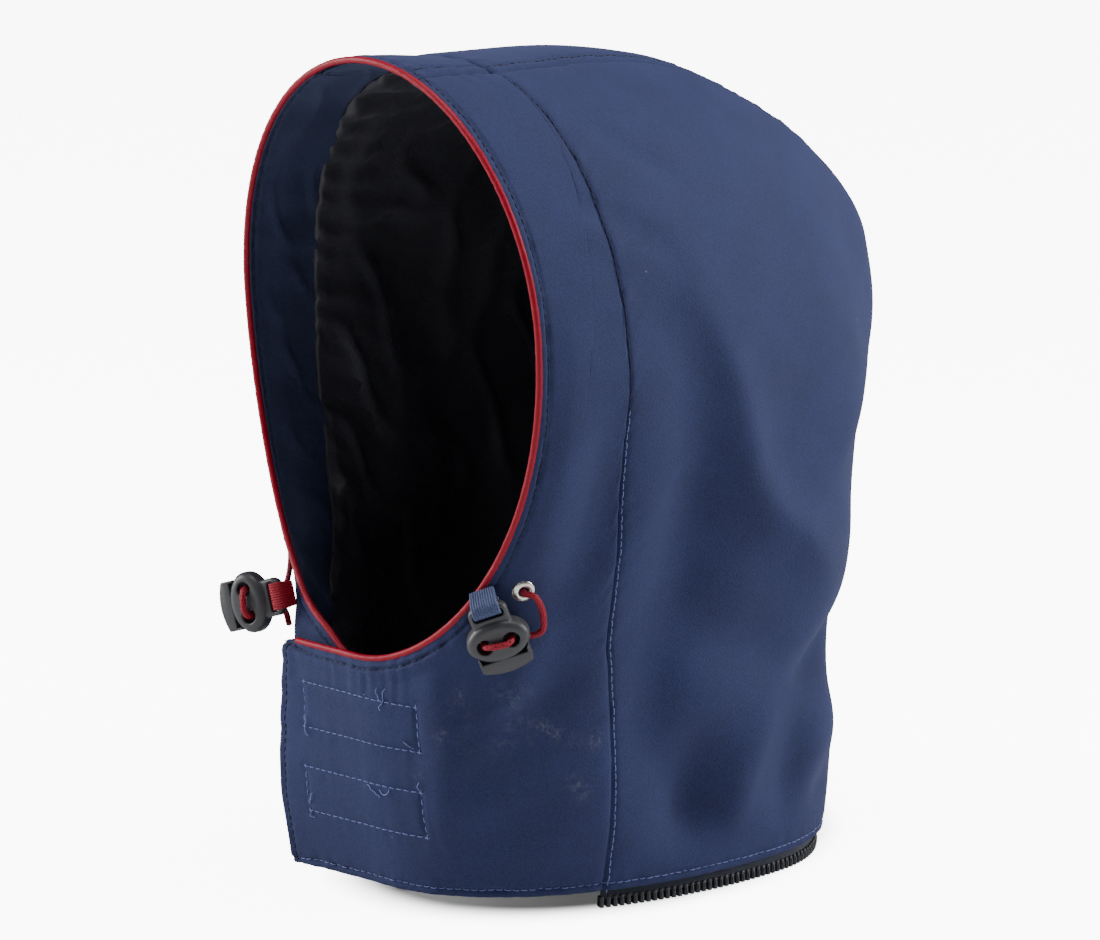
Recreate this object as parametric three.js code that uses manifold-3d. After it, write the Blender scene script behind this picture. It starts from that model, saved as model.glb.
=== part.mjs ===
// A detachable hood of navy softshell cloth, in millimetres, +Z up.
// The face opening looks along -Y, +X is the wearer's left, and the zip teeth rest on z = 0.
// The cloth is a bent tube: loops fan out from the chin, level at the hem and upright at the face.

import * as THREE from 'three';
import { mergeVertices } from 'three/addons/utils/BufferGeometryUtils.js';
import Module from 'manifold-3d';

const wasm = await Module();
wasm.setup();

// Driving sizes
const SHELL = 1.8;
const LINING = 1.0;
const GAP = 0.3;
const UP = new THREE.Vector3(0, 0, 1);
const SEAM_GAP = 0.4;
const PIPING_RADIUS = 1.6;
const GUSSET_HALF = 29;
const FLAP_REACH_HEM = 50;
const FLAP_REACH_TOP = 46;
const UNDERLAP_REACH = 30;
const UNDERLAP_DEPTH = 6.6;
const UNDERLAP_DROP = 6;
const PATCH_THICKNESS = 1.0;
const TOOTH_PITCH = 2.9;
const TOOTH_HEIGHT = 4.6;
const TOOTH_THICKNESS = 3.8;
const TAPE_THICKNESS = 1.0;
const TAPE_TOP = 17;
const CORD_DIAMETER = 2.5;
const EYELET = { flange: 4.6, outer: 2.9, inner: 2.0, rim: 0.7 };

// Depths below the outer face of the cloth
const SHELL_IN = SHELL;
const LINING_OUT = SHELL_IN + GAP;
const LINING_IN = LINING_OUT + LINING;
const HOOK_OUT = LINING_IN + GAP + 0.1;
const HOOK_IN = HOOK_OUT + PATCH_THICKNESS;
const LOOP_OUT = HOOK_IN + GAP;
const LOOP_IN = LOOP_OUT + PATCH_THICKNESS;

// One row for each loop of the tube, from the hem (at 0) to the face edge (at 1)
const LOOPS = [
  { at: 0.00, chinY: -100, chinZ: 7, backY: 111, backZ: 9, half: 88, widest: 0.66, backPower: 2.2, recess: 0 },
  { at: 0.06, chinY: -102, chinZ: 14, backY: 118, backZ: 38, half: 90, widest: 0.64, backPower: 2.1, recess: 0 },
  { at: 0.13, chinY: -104, chinZ: 22, backY: 112, backZ: 70, half: 91, widest: 0.63, backPower: 2.1, recess: 1 },
  { at: 0.21, chinY: -106, chinZ: 30, backY: 119, backZ: 112, half: 93, widest: 0.61, backPower: 2.0, recess: 2 },
  { at: 0.29, chinY: -108, chinZ: 39, backY: 128, backZ: 156, half: 95, widest: 0.59, backPower: 2.0, recess: 3 },
  { at: 0.38, chinY: -109, chinZ: 48, backY: 137, backZ: 205, half: 96, widest: 0.58, backPower: 2.0, recess: 4 },
  { at: 0.46, chinY: -110, chinZ: 57, backY: 153, backZ: 242, half: 96, widest: 0.55, backPower: 2.0, recess: 5 },
  { at: 0.52, chinY: -110, chinZ: 64, backY: 149, backZ: 268, half: 95, widest: 0.54, backPower: 2.0, recess: 6 },
  { at: 0.60, chinY: -111, chinZ: 71, backY: 122, backZ: 294, half: 94, widest: 0.53, backPower: 2.1, recess: 8 },
  { at: 0.70, chinY: -111, chinZ: 79, backY: 78, backZ: 317, half: 94, widest: 0.53, backPower: 2.2, recess: 10 },
  { at: 0.78, chinY: -112, chinZ: 86, backY: 34, backZ: 331, half: 92, widest: 0.54, backPower: 2.3, recess: 12 },
  { at: 0.88, chinY: -112, chinZ: 93, backY: -20, backZ: 336, half: 90, widest: 0.55, backPower: 2.3, recess: 14 },
  { at: 0.95, chinY: -113, chinZ: 98, backY: -66, backZ: 336, half: 88, widest: 0.56, backPower: 2.2, recess: 16 },
  { at: 1.00, chinY: -113, chinZ: 103, backY: -108, backZ: 338, half: 85, widest: 0.564, backPower: 2.0, recess: 17 },
];

// The seam between front panel and side panel, as the Y of its line at each height
const BAND_SEAM = [
  { z: 0, y: -45 },
  { z: 40, y: -46 },
  { z: 130, y: -50 },
  { z: 215, y: -52 },
  { z: 300, y: -62 },
  { z: 345, y: -66 },
];

// Cord locks: middle of the body, the way its button points, and the way its two cord holes line up
const LOCKS = [
  {
    side: 'left', sign: 1, middle: [63.6, -97.0, 119.0],
    down: [0.046, 0.418, -0.907], across: [0.67, 0.58, 0.38],
  },
  {
    side: 'right', sign: -1, middle: [-63.8, -112, 114.5],
    down: [-0.91, -0.27, -0.29], across: [0.42, 0.03, -0.89],
  },
];
// In a lock's own frame x runs from hole to hole, y away from the button and z out of its front face
const LOCK = {
  halfWidth: 12.5, halfLength: 8.7, thickness: 9,
  holeRadius: 3.1, holeOffset: 5.4,
  lugWidth: 15.5, lugEnd: 15.6, lugThickness: 4.6, slot: [12.2, 3.2], slotMiddle: 11.6,
  pocketThickness: 6.2, pocketHalf: 10.7, pocketTop: -3.9, earInner: 8.9, earTop: -1.2,
  capHalf: 10.25, capTop: -8.0, capBottom: -14.0, capSide: -11.8, earBottomTop: -5.6,
  stemHalf: 1.2, stemTop: 2.4, travel: 4,
};

const MATERIALS = {
  navy: new THREE.MeshStandardMaterial({ color: 0x2f3c63, roughness: 0.85, metalness: 0 }),
  facing: new THREE.MeshStandardMaterial({ color: 0x27335a, roughness: 0.9, metalness: 0 }),
  lining: new THREE.MeshStandardMaterial({ color: 0x0c0d12, roughness: 0.95, metalness: 0 }),
  patch: new THREE.MeshStandardMaterial({ color: 0x1d2645, roughness: 0.95, metalness: 0 }),
  red: new THREE.MeshStandardMaterial({ color: 0xb5122f, roughness: 0.5, metalness: 0 }),
  tape: new THREE.MeshStandardMaterial({ color: 0x23283c, roughness: 0.9, metalness: 0 }),
  teeth: new THREE.MeshStandardMaterial({ color: 0x3a3d47, roughness: 0.45, metalness: 0 }),
  plastic: new THREE.MeshStandardMaterial({ color: 0x4a4b50, roughness: 0.5, metalness: 0 }),
  nickel: new THREE.MeshStandardMaterial({ color: 0xc8c6c0, roughness: 0.3, metalness: 1 }),
  darkMetal: new THREE.MeshStandardMaterial({ color: 0x34353a, roughness: 0.4, metalness: 1 }),
};

// The loops are drawn from the line of the ears; the origin is the middle of the whole footprint
const FOOTPRINT_MIDDLE_Y = 16.12;

const group = new THREE.Group();
group.position.y = -FOOTPRINT_MIDDLE_Y;

function add(name, geometry, material) {
  const mesh = new THREE.Mesh(geometry, material);
  mesh.name = name;
  group.add(mesh);
  return mesh;
}

// Curves through tables

function curveThrough(rows, from, to) {
  const x = rows.map((row) => row[from]);
  const y = rows.map((row) => row[to]);
  const last = x.length - 1;
  const slope = x.slice(1).map((value, i) => (y[i + 1] - y[i]) / (value - x[i]));
  const tangent = x.map((value, i) => {
    if (i === 0) return slope[0];
    if (i === last) return slope[last - 1];
    if (slope[i - 1] * slope[i] <= 0) return 0;
    return (2 * slope[i - 1] * slope[i]) / (slope[i - 1] + slope[i]);
  });
  return (value) => {
    const q = THREE.MathUtils.clamp(value, x[0], x[last]);
    let i = 0;
    while (i < last - 1 && q > x[i + 1]) i += 1;
    const step = x[i + 1] - x[i];
    const t = (q - x[i]) / step;
    const rise = (t * t * (3 - 2 * t)) * (y[i + 1] - y[i]);
    const bend = t * (1 - t) * ((1 - t) * tangent[i] - t * tangent[i + 1]) * step;
    return y[i] + rise + bend;
  };
}

const loop = {};
for (const column of ['chinY', 'chinZ', 'backY', 'backZ', 'half', 'widest', 'backPower', 'recess']) {
  loop[column] = curveThrough(LOOPS, 'at', column);
}
const loopAtChinHeight = curveThrough(LOOPS, 'chinZ', 'at');
const chinDepthAtHeight = curveThrough(LOOPS, 'chinZ', 'chinY');
const bandSeamY = curveThrough(BAND_SEAM, 'z', 'y');

function smooth(value, low, high) {
  return THREE.MathUtils.smoothstep(value, low, high);
}

// The outer face of the hood: at runs hem to face, around runs from 0 at the chin to PI at the crown
function tubePoint(at, around) {
  const power = Math.cos(around) >= 0 ? 2 : loop.backPower(at);
  const widest = loop.widest(at);
  const reach = Math.abs(Math.cos(around)) ** (2 / power);
  const along = Math.cos(around) >= 0 ? widest * (1 - reach) : widest + (1 - widest) * reach;
  const side = Math.sign(Math.sin(around)) * Math.abs(Math.sin(around)) ** (2 / power);
  const runY = loop.backY(at) - loop.chinY(at);
  const runZ = loop.backZ(at) - loop.chinZ(at);
  const length = Math.hypot(runY, runZ);
  const recess = loop.recess(at) * Math.sin(Math.PI * along ** 0.7);
  return new THREE.Vector3(
    loop.half(at) * side,
    loop.chinY(at) + runY * along + (recess * runZ) / length,
    loop.chinZ(at) + runZ * along - (recess * runY) / length,
  );
}

function aroundAtSide(at, side) {
  return Math.asin(Math.min(1, Math.abs(side) / loop.half(at))) * Math.sign(side);
}

function crownSeam(at) {
  return Math.PI - Math.asin(Math.min(1, GUSSET_HALF / loop.half(at)) ** (loop.backPower(at) / 2));
}

function bandSeam(at, shift = 0) {
  let low = 0.15;
  let high = Math.PI;
  for (let pass = 0; pass < 40; pass += 1) {
    const middle = (low + high) / 2;
    const point = tubePoint(at, middle);
    if (point.y > bandSeamY(point.z) + shift) high = middle;
    else low = middle;
  }
  return (low + high) / 2;
}

// The loop on which the band seam meets the crown seam
function findCorner(shift) {
  let low = 0.8;
  let high = 1;
  for (let pass = 0; pass < 40; pass += 1) {
    const middle = (low + high) / 2;
    if (bandSeam(middle, shift) < crownSeam(middle)) low = middle;
    else high = middle;
  }
  return (low + high) / 2;
}
const CORNER = findCorner(0);
const FRONT_CORNER = findCorner(-SEAM_GAP / 2);

// The chin: the wearer's left front runs on past the middle as a flat flap, over the right front

function flapDepth(side, height) {
  const slant = THREE.MathUtils.mapLinear(height, 7, 103, 0.13, -0.02);
  return chinDepthAtHeight(height) + (slant * side * Math.abs(side)) / (Math.abs(side) + 15);
}

function flapReach(at) {
  return THREE.MathUtils.lerp(FLAP_REACH_HEM, FLAP_REACH_TOP, at);
}

function frontStart(at) {
  return Math.min(bandSeam(at, -SEAM_GAP / 2), crownSeam(at));
}

// across runs from 1 at the back seam of the front panel, through 0 at the chin, to -1 at the free end
function leftFrontPoint(at, across) {
  if (across >= 0) return tubePoint(at, across * frontStart(at));
  const side = across * flapReach(at);
  const height = loop.chinZ(at);
  return new THREE.Vector3(side, flapDepth(side, height), height);
}

function rightFrontPoint(at, across) {
  if (across < 0) {
    const point = tubePoint(at, aroundAtSide(at, -across * UNDERLAP_REACH));
    point.y += UNDERLAP_DEPTH;
    return point;
  }
  const point = tubePoint(at, -across * frontStart(at));
  const share = smooth(point.x, -62, -42) * (1 - smooth(point.z, 104, 132));
  const under = flapDepth(point.x, point.z) + UNDERLAP_DEPTH;
  point.y = THREE.MathUtils.lerp(point.y, under, share);
  return point;
}

function rightEdgeLoop(across) {
  if (across < 0) return 1 - UNDERLAP_DROP / 96;
  const side = tubePoint(1, -across * frontStart(1)).x;
  return 1 - (UNDERLAP_DROP / 96) * smooth(side, -30, -4);
}

// Normals and sheets

const STEP = 1e-3;

function normalOf(face, at, across) {
  const alongLoop = face(at, across + STEP).sub(face(at, across - STEP));
  const alongTube = face(at + STEP, across).sub(face(at - STEP, across));
  const normal = alongLoop.cross(alongTube).normalize();
  const middle = tubePoint(at, 0).add(tubePoint(at, Math.PI)).multiplyScalar(0.5);
  return normal.dot(face(at, across).sub(middle)) < 0 ? normal.negate() : normal;
}

function offsetPoint(face, at, across, depth) {
  return face(at, across).addScaledVector(normalOf(face, at, across), -depth);
}

function signedVolume(position, index) {
  const [a, b, c] = [new THREE.Vector3(), new THREE.Vector3(), new THREE.Vector3()];
  let volume = 0;
  for (let i = 0; i < index.length; i += 3) {
    a.fromArray(position, 3 * index[i]);
    b.fromArray(position, 3 * index[i + 1]);
    c.fromArray(position, 3 * index[i + 2]);
    volume += a.dot(b.cross(c)) / 6;
  }
  return volume;
}

function closedGeometry(position, index) {
  const outward = signedVolume(position, index) > 0 ? index : [...index].reverse();
  const geometry = new THREE.BufferGeometry();
  geometry.setAttribute('position', new THREE.Float32BufferAttribute(position, 3));
  geometry.setIndex(outward);
  geometry.computeVertexNormals();
  return geometry;
}

// A sheet of cloth between two depths below a face, from rows and columns of [at, across]
function sheetGeometry(face, places, outer, inner) {
  const rows = places.length;
  const columns = places[0].length;
  const position = [];
  for (const depth of [outer, inner]) {
    for (const row of places) {
      for (const [at, across] of row) position.push(...offsetPoint(face, at, across, depth).toArray());
    }
  }
  const index = [];
  const inside = rows * columns;
  const quad = (a, b, c, d) => index.push(a, b, c, a, c, d);
  for (let r = 0; r < rows - 1; r += 1) {
    for (let c = 0; c < columns - 1; c += 1) {
      const a = r * columns + c;
      quad(a, a + 1, a + columns + 1, a + columns);
      quad(inside + a, inside + a + columns, inside + a + columns + 1, inside + a + 1);
    }
  }
  const rim = [];
  for (let c = 0; c < columns - 1; c += 1) rim.push(c);
  for (let r = 0; r < rows - 1; r += 1) rim.push(r * columns + columns - 1);
  for (let c = columns - 1; c > 0; c -= 1) rim.push((rows - 1) * columns + c);
  for (let r = rows - 1; r > 0; r -= 1) rim.push(r * columns);
  rim.forEach((a, i) => {
    const b = rim[(i + 1) % rim.length];
    quad(b, a, inside + a, inside + b);
  });
  return closedGeometry(position, index);
}

function speedAlongTube(face, at, across) {
  return face(at, across).distanceTo(face(at - STEP, across)) / STEP;
}

function speedAlongLoop(face, at, across) {
  return face(at, across + STEP).distanceTo(face(at, across - STEP)) / (2 * STEP);
}

function fractions(count, from = 0, to = 1) {
  return Array.from({ length: count + 1 }, (unused, i) => from + ((to - from) * i) / count);
}

// Front panels: their facings repeat them at the lining's depth

const BACK_ROWS = 13;

// Loops that cut a seam line into equal lengths between the hem and the corner
function evenLoops(around, count) {
  const stations = [];
  let run = 0;
  let before = null;
  for (const share of fractions(600)) {
    const at = CORNER * (1 - (1 - share) ** 3);
    const point = tubePoint(at, around(at));
    if (before) run += point.distanceTo(before);
    before = point;
    stations.push({ run, at });
  }
  const atRun = curveThrough(stations, 'run', 'at');
  return fractions(count).map((share) => atRun(share * run));
}

const BAND_LOOPS = evenLoops(bandSeam, BACK_ROWS);
const CROWN_LOOPS = evenLoops(crownSeam, BACK_ROWS);
const FRONT_LOOPS = [...BAND_LOOPS.slice(0, -1), FRONT_CORNER, 1];

const LEFT_COLUMNS = [1, 0.86, 0.72, 0.6, 0.49, 0.39, 0.3, 0.2, 0.1, 0, -0.3, -0.65, -1];
const RIGHT_COLUMNS = [1, 0.86, 0.72, 0.6, 0.5, 0.43, 0.37, 0.31, 0.25, 0.2, 0.15, 0.1, 0.05, 0, -0.5, -1];

function frontPlaces(face, columns, edgeLoop) {
  const edge = PIPING_RADIUS + GAP;
  return FRONT_LOOPS.map((seamLoop, i) => columns.map((across) => {
    const top = edgeLoop(across);
    const clear = edge + (top < 1 ? 2.4 : 0);
    const last = top - clear / speedAlongTube(face, top, across);
    if (across === 1) {
      const at = Math.min(seamLoop, last);
      return [at, 1 - SEAM_GAP / 2 / speedAlongLoop(face, at, 1)];
    }
    const even = i / (FRONT_LOOPS.length - 1);
    const at = last * THREE.MathUtils.lerp(even, seamLoop, Math.max(0, across));
    return [at, across === -1 ? -1 + edge / speedAlongLoop(face, at, -1) : across];
  }));
}

function leftEdgeLoop() {
  return 1;
}

function punched(geometry, centre, axis, radius) {
  const drill = new THREE.CylinderGeometry(radius, radius, 24, 16);
  drill.applyQuaternion(new THREE.Quaternion().setFromUnitVectors(new THREE.Vector3(0, 1, 0), axis));
  drill.translate(centre.x, centre.y, centre.z);
  return fromSolid(solidOf(geometry).subtract(solidOf(drill)));
}

function fromSolid(solid) {
  const mesh = solid.getMesh();
  const geometry = new THREE.BufferGeometry();
  geometry.setAttribute('position', new THREE.BufferAttribute(new Float32Array(mesh.vertProperties), 3));
  geometry.setIndex(Array.from(mesh.triVerts));
  geometry.computeVertexNormals();
  return geometry;
}

const EYELET_PLACE = { at: 0.909, around: THREE.MathUtils.degToRad(48.5) };

function eyeletFrame(sign) {
  const face = (at, around) => tubePoint(at, sign * around);
  const centre = face(EYELET_PLACE.at, EYELET_PLACE.around);
  return { centre, axis: normalOf(face, EYELET_PLACE.at, EYELET_PLACE.around) };
}

function addFrontPanels() {
  const fronts = [
    { side: 'left', sign: 1, face: leftFrontPoint, columns: LEFT_COLUMNS, edgeLoop: leftEdgeLoop },
    { side: 'right', sign: -1, face: rightFrontPoint, columns: RIGHT_COLUMNS, edgeLoop: rightEdgeLoop },
  ];
  for (const { side, sign, face, columns, edgeLoop } of fronts) {
    const places = frontPlaces(face, columns, edgeLoop);
    const hole = eyeletFrame(sign);
    const shell = sheetGeometry(face, places, 0, SHELL_IN);
    const facing = sheetGeometry(face, places, LINING_OUT, LINING_IN);
    const holeRadius = EYELET.outer + GAP;
    add(`front_panel_${side}`, punched(shell, hole.centre, hole.axis, holeRadius), MATERIALS.navy);
    add(`facing_${side}`, facing, MATERIALS.facing);
  }
}

function topPlaces() {
  const edge = PIPING_RADIUS + GAP;
  return fractions(2).map((share) => fractions(4, -1, 1).map((across) => {
    const turn = 1 - Math.abs(across);
    const around = crownSeam(CORNER) + turn * (Math.PI - crownSeam(CORNER));
    const low = CORNER + SEAM_GAP / 2 / speedAlongTube(tubePoint, CORNER, around);
    const high = 1 - edge / speedAlongTube(tubePoint, 1, around);
    const at = low + share * (high - low);
    const seam = crownSeam(at) + SEAM_GAP / 2 / speedAlongLoop(tubePoint, at, crownSeam(at));
    const fromLeft = seam + turn * (Math.PI - seam);
    return [at, across < 0 ? 2 * Math.PI - fromLeft : fromLeft];
  }));
}

function sidePlaces(sign) {
  return BAND_LOOPS.slice(0, -1).map((bandLoop, i) => fractions(8).map((share) => {
    return sidePlace(bandLoop, CROWN_LOOPS[i], share, sign);
  })).concat([cornerPlaces(sign)]);
}

function sidePlace(bandLoop, crownLoop, share, sign) {
  const end = crownSeam(crownLoop) - SEAM_GAP / 2 / speedAlongLoop(tubePoint, crownLoop, crownSeam(crownLoop));
  const start = Math.min(bandSeam(bandLoop, SEAM_GAP / 2), end - 0.02);
  return [THREE.MathUtils.lerp(bandLoop, crownLoop, share), sign * THREE.MathUtils.lerp(start, end, share)];
}

// The last row of a side panel, drawn in a little from the corner where its two seams meet
function cornerPlaces(sign) {
  const nearEnd = (loops) => THREE.MathUtils.lerp(...loops.slice(-2), 0.95);
  const [bandLoop, crownLoop] = [BAND_LOOPS, CROWN_LOOPS].map(nearEnd);
  return fractions(8).map((share) => sidePlace(bandLoop, crownLoop, share, sign));
}

function centrePlaces() {
  const last = CORNER - SEAM_GAP / 2 / speedAlongTube(tubePoint, CORNER, Math.PI);
  return [...CROWN_LOOPS.slice(0, -1), last].map((at) => fractions(4, -1, 1).map((across) => {
    const seam = crownSeam(at) + SEAM_GAP / 2 / speedAlongLoop(tubePoint, at, crownSeam(at));
    return [at, Math.PI - across * (Math.PI - seam)];
  }));
}

function addBackPanels() {
  const panels = [
    { name: 'side_panel_left', lining: 'lining_left', places: sidePlaces(1) },
    { name: 'side_panel_right', lining: 'lining_right', places: sidePlaces(-1) },
    { name: 'centre_panel', lining: 'lining_centre', places: centrePlaces() },
  ];
  for (const { name, lining, places } of panels) {
    add(name, sheetGeometry(tubePoint, places, 0, SHELL_IN), MATERIALS.navy);
    add(lining, sheetGeometry(tubePoint, places, LINING_OUT, LINING_IN), MATERIALS.lining);
  }
  add('front_panel_top', sheetGeometry(tubePoint, topPlaces(), 0, SHELL_IN), MATERIALS.navy);
  add('facing_top', sheetGeometry(tubePoint, topPlaces(), LINING_OUT, LINING_IN), MATERIALS.facing);
}

// Hook-and-loop patches between flap and underlap

const PATCHES = [
  { name: 'upper', low: 68.5, high: 87 },
  { name: 'lower', low: 33, high: 52 },
];
const PATCH_SIDES = { free: -41, inner: 26 };

function patchPlaces(low, high, acrossOf) {
  const sides = fractions(6, PATCH_SIDES.free, PATCH_SIDES.inner);
  return fractions(2, low, high).map(loopAtChinHeight).map((at) => sides.map((side) => [at, acrossOf(at, side)]));
}

function leftAcross(at, side) {
  return side < 0 ? side / flapReach(at) : aroundAtSide(at, side) / frontStart(at);
}

function addPatches() {
  for (const { name, low, high } of PATCHES) {
    const places = patchPlaces(low, high, leftAcross);
    add(`hook_patch_${name}`, sheetGeometry(leftFrontPoint, places, HOOK_OUT, HOOK_IN), MATERIALS.patch);
    add(`loop_patch_${name}`, sheetGeometry(leftFrontPoint, places, LOOP_OUT, LOOP_IN), MATERIALS.patch);
  }
}

// Sweeps: a closed section carried along points, each with its own side and up directions

function sweepGeometry(stations) {
  const sides = stations[0].length;
  const position = stations.flat().flatMap((point) => point.toArray());
  const index = [];
  for (let s = 0; s < stations.length - 1; s += 1) {
    for (let k = 0; k < sides; k += 1) {
      const a = s * sides + k;
      const b = s * sides + ((k + 1) % sides);
      index.push(a, b, b + sides, a, b + sides, a + sides);
    }
  }
  const end = (stations.length - 1) * sides;
  for (let k = 1; k < sides - 1; k += 1) {
    index.push(0, k + 1, k, end, end + k, end + k + 1);
  }
  return closedGeometry(position, index);
}

function roundSection(centre, side, up, radius, count) {
  return fractions(count).slice(0, -1).map((share) => centre.clone()
    .addScaledVector(side, radius * Math.cos(2 * Math.PI * share))
    .addScaledVector(up, radius * Math.sin(2 * Math.PI * share)));
}

function boxSection(centre, side, up, width, height) {
  return [[-1, -1], [1, -1], [1, 1], [-1, 1]].map(([u, v]) => centre.clone()
    .addScaledVector(side, (u * width) / 2)
    .addScaledVector(up, (v * height) / 2));
}

// A straight-laid tube through a list of points, its section kept from twisting
function tubeAlong(points, radius, count) {
  const tangents = points.map((point, i) => points[Math.min(i + 1, points.length - 1)].clone()
    .sub(points[Math.max(i - 1, 0)]).normalize());
  const up = new THREE.Vector3(0, 0, 1).cross(tangents[0]).normalize();
  return sweepGeometry(points.map((point, i) => {
    up.addScaledVector(tangents[i], -up.dot(tangents[i])).normalize();
    const side = up.clone().cross(tangents[i]);
    return roundSection(point, side, up, radius, count);
  }));
}

// Piping round the face edge, from the flap's free corner to the underlap's hidden end

function pipingPoint(face, at, across) {
  return offsetPoint(face, at, across, LINING_IN / 2);
}

function addPiping() {
  const left = [...LEFT_COLUMNS].reverse().map((across) => {
    return pipingPoint(leftFrontPoint, 1, across === -1 ? -0.985 : across);
  });
  const top = topPlaces().at(-1).slice(1, -1).map(([, around]) => pipingPoint(tubePoint, 1, around));
  const right = RIGHT_COLUMNS.filter((across) => across >= 0)
    .map((across) => pipingPoint(rightFrontPoint, rightEdgeLoop(across), across));
  add('piping', tubeAlong([...left, ...top.reverse(), ...right], PIPING_RADIUS, 6), MATERIALS.red);
}

// Zip: teeth and tape follow the hem from band seam to band seam round the back

const ZIP_DEPTH = LINING_IN + GAP + 0.3 + TAPE_THICKNESS / 2;
const ZIP_START = bandSeam(0);

function zipStations() {
  const places = [];
  const steps = 400;
  let run = 0;
  let before = null;
  for (const around of fractions(steps, ZIP_START, 2 * Math.PI - ZIP_START)) {
    const point = tubePoint(0, around);
    if (before) run += point.distanceTo(before);
    before = point;
    places.push({ around, run });
  }
  const aroundAtRun = curveThrough(places, 'run', 'around');
  const teeth = Math.floor(run / TOOTH_PITCH);
  return { aroundAtRun, teeth };
}
const ZIP = zipStations();

function hemFrame(around, depth) {
  const centre = tubePoint(0, around);
  const along = tubePoint(0, around + STEP).sub(tubePoint(0, around - STEP)).setZ(0).normalize();
  const out = new THREE.Vector3(along.y, -along.x, 0);
  centre.addScaledVector(out, -depth).setZ(0);
  return { centre, along, out };
}

function addTeeth() {
  const stations = [];
  const shapes = [
    { share: 0.00, bottom: 0, thickness: TOOTH_THICKNESS },
    { share: 0.45, bottom: 0, thickness: TOOTH_THICKNESS },
    { share: 0.72, bottom: 2.4, thickness: 1.8 },
  ];
  for (let tooth = 0; tooth < ZIP.teeth; tooth += 1) {
    for (const { share, bottom, thickness } of shapes) {
      const around = ZIP.aroundAtRun((tooth + share) * TOOTH_PITCH);
      const { centre, out } = hemFrame(around, ZIP_DEPTH);
      centre.setZ((bottom + TOOTH_HEIGHT) / 2);
      stations.push(boxSection(centre, out, UP, thickness, TOOTH_HEIGHT - bottom));
    }
  }
  add('zip_teeth', sweepGeometry(stations), MATERIALS.teeth);
}

function addTape() {
  const stations = fractions(30, ZIP_START, 2 * Math.PI - ZIP_START).map((around) => {
    const { centre, out } = hemFrame(around, ZIP_DEPTH);
    const low = TOOTH_HEIGHT + GAP;
    centre.setZ((TAPE_TOP + low) / 2);
    return boxSection(centre, out, UP, TAPE_THICKNESS, TAPE_TOP - low);
  });
  add('zip_tape', sweepGeometry(stations), MATERIALS.tape);
}

// Solids joined and cut in a local frame

function solidOf(geometry) {
  const bare = geometry.clone();
  bare.deleteAttribute('normal');
  bare.deleteAttribute('uv');
  const merged = mergeVertices(bare, 1e-5);
  return new wasm.Manifold(new wasm.Mesh({
    numProp: 3,
    vertProperties: new Float32Array(merged.attributes.position.array),
    triVerts: new Uint32Array(merged.index.array),
  }));
}

function boxSolid(size, middle) {
  return solidOf(new THREE.BoxGeometry(...size).translate(...middle));
}

function roundedOutline(width, length, corner) {
  const shape = new THREE.Shape();
  const [x, y] = [width / 2, length / 2];
  shape.moveTo(-x + corner, -y);
  shape.lineTo(x - corner, -y);
  shape.absarc(x - corner, -y + corner, corner, -Math.PI / 2, 0);
  shape.absarc(x - corner, y - corner, corner, 0, Math.PI / 2);
  shape.absarc(-x + corner, y - corner, corner, Math.PI / 2, Math.PI);
  shape.absarc(-x + corner, -y + corner, corner, Math.PI, 1.5 * Math.PI);
  return shape;
}

function slabGeometry(shape, thickness, bevel) {
  const geometry = new THREE.ExtrudeGeometry(shape, {
    depth: thickness - 2 * bevel,
    curveSegments: 4,
    bevelEnabled: true,
    bevelThickness: bevel,
    bevelSize: bevel,
    bevelOffset: -bevel,
    bevelSegments: 2,
  });
  return geometry.translate(0, 0, -(thickness - 2 * bevel) / 2);
}

function lockFrame({ middle, down, across }) {
  const y = new THREE.Vector3(...down).normalize().negate();
  const x = new THREE.Vector3(...across);
  x.addScaledVector(y, -x.dot(y)).normalize();
  const z = x.clone().cross(y);
  return new THREE.Matrix4().makeBasis(x, y, z).setPosition(...middle);
}

function polygon(points) {
  return new THREE.Shape(points.map(([x, y]) => new THREE.Vector2(x, y)));
}

function flatSolid(shape, thickness) {
  const geometry = new THREE.ExtrudeGeometry(shape, { depth: thickness, curveSegments: 6, bevelEnabled: false });
  return solidOf(geometry.translate(0, 0, -thickness / 2));
}

function lockBody() {
  const oval = new THREE.Shape();
  oval.absellipse(0, 0, LOCK.halfWidth, LOCK.halfLength, 0, 2 * Math.PI);
  let solid = solidOf(slabGeometry(oval, LOCK.thickness, 2.2));
  const lugLength = LOCK.lugEnd - LOCK.halfLength + 5;
  const lug = slabGeometry(roundedOutline(LOCK.lugWidth, lugLength, 2), LOCK.lugThickness, 0.8);
  solid = solid.add(solidOf(lug.translate(0, LOCK.lugEnd - lugLength / 2, 0)));
  for (const sign of [-1, 1]) {
    const hole = new THREE.CylinderGeometry(LOCK.holeRadius, LOCK.holeRadius, 20, 14);
    solid = solid.subtract(solidOf(hole.rotateX(Math.PI / 2).translate(sign * LOCK.holeOffset, 0, 0)));
  }
  solid = solid.subtract(boxSolid([...LOCK.slot, 20], [0, LOCK.slotMiddle, 0]));
  const { pocketHalf, pocketTop, earInner, earTop, pocketThickness, stemHalf, stemTop, travel } = LOCK;
  const pocket = polygon([
    [-pocketHalf, -20], [pocketHalf, -20], [pocketHalf, earTop], [earInner, earTop], [earInner, pocketTop],
    [-earInner, pocketTop], [-earInner, earTop], [-pocketHalf, earTop],
  ]);
  const stemPocket = boxSolid(
    [2 * stemHalf + 0.8, stemTop + travel + 0.4 - pocketTop + 1, pocketThickness],
    [0, (stemTop + travel + 0.4 + pocketTop - 1) / 2, 0],
  );
  return fromSolid(solid.subtract(flatSolid(pocket, pocketThickness)).subtract(stemPocket));
}

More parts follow.
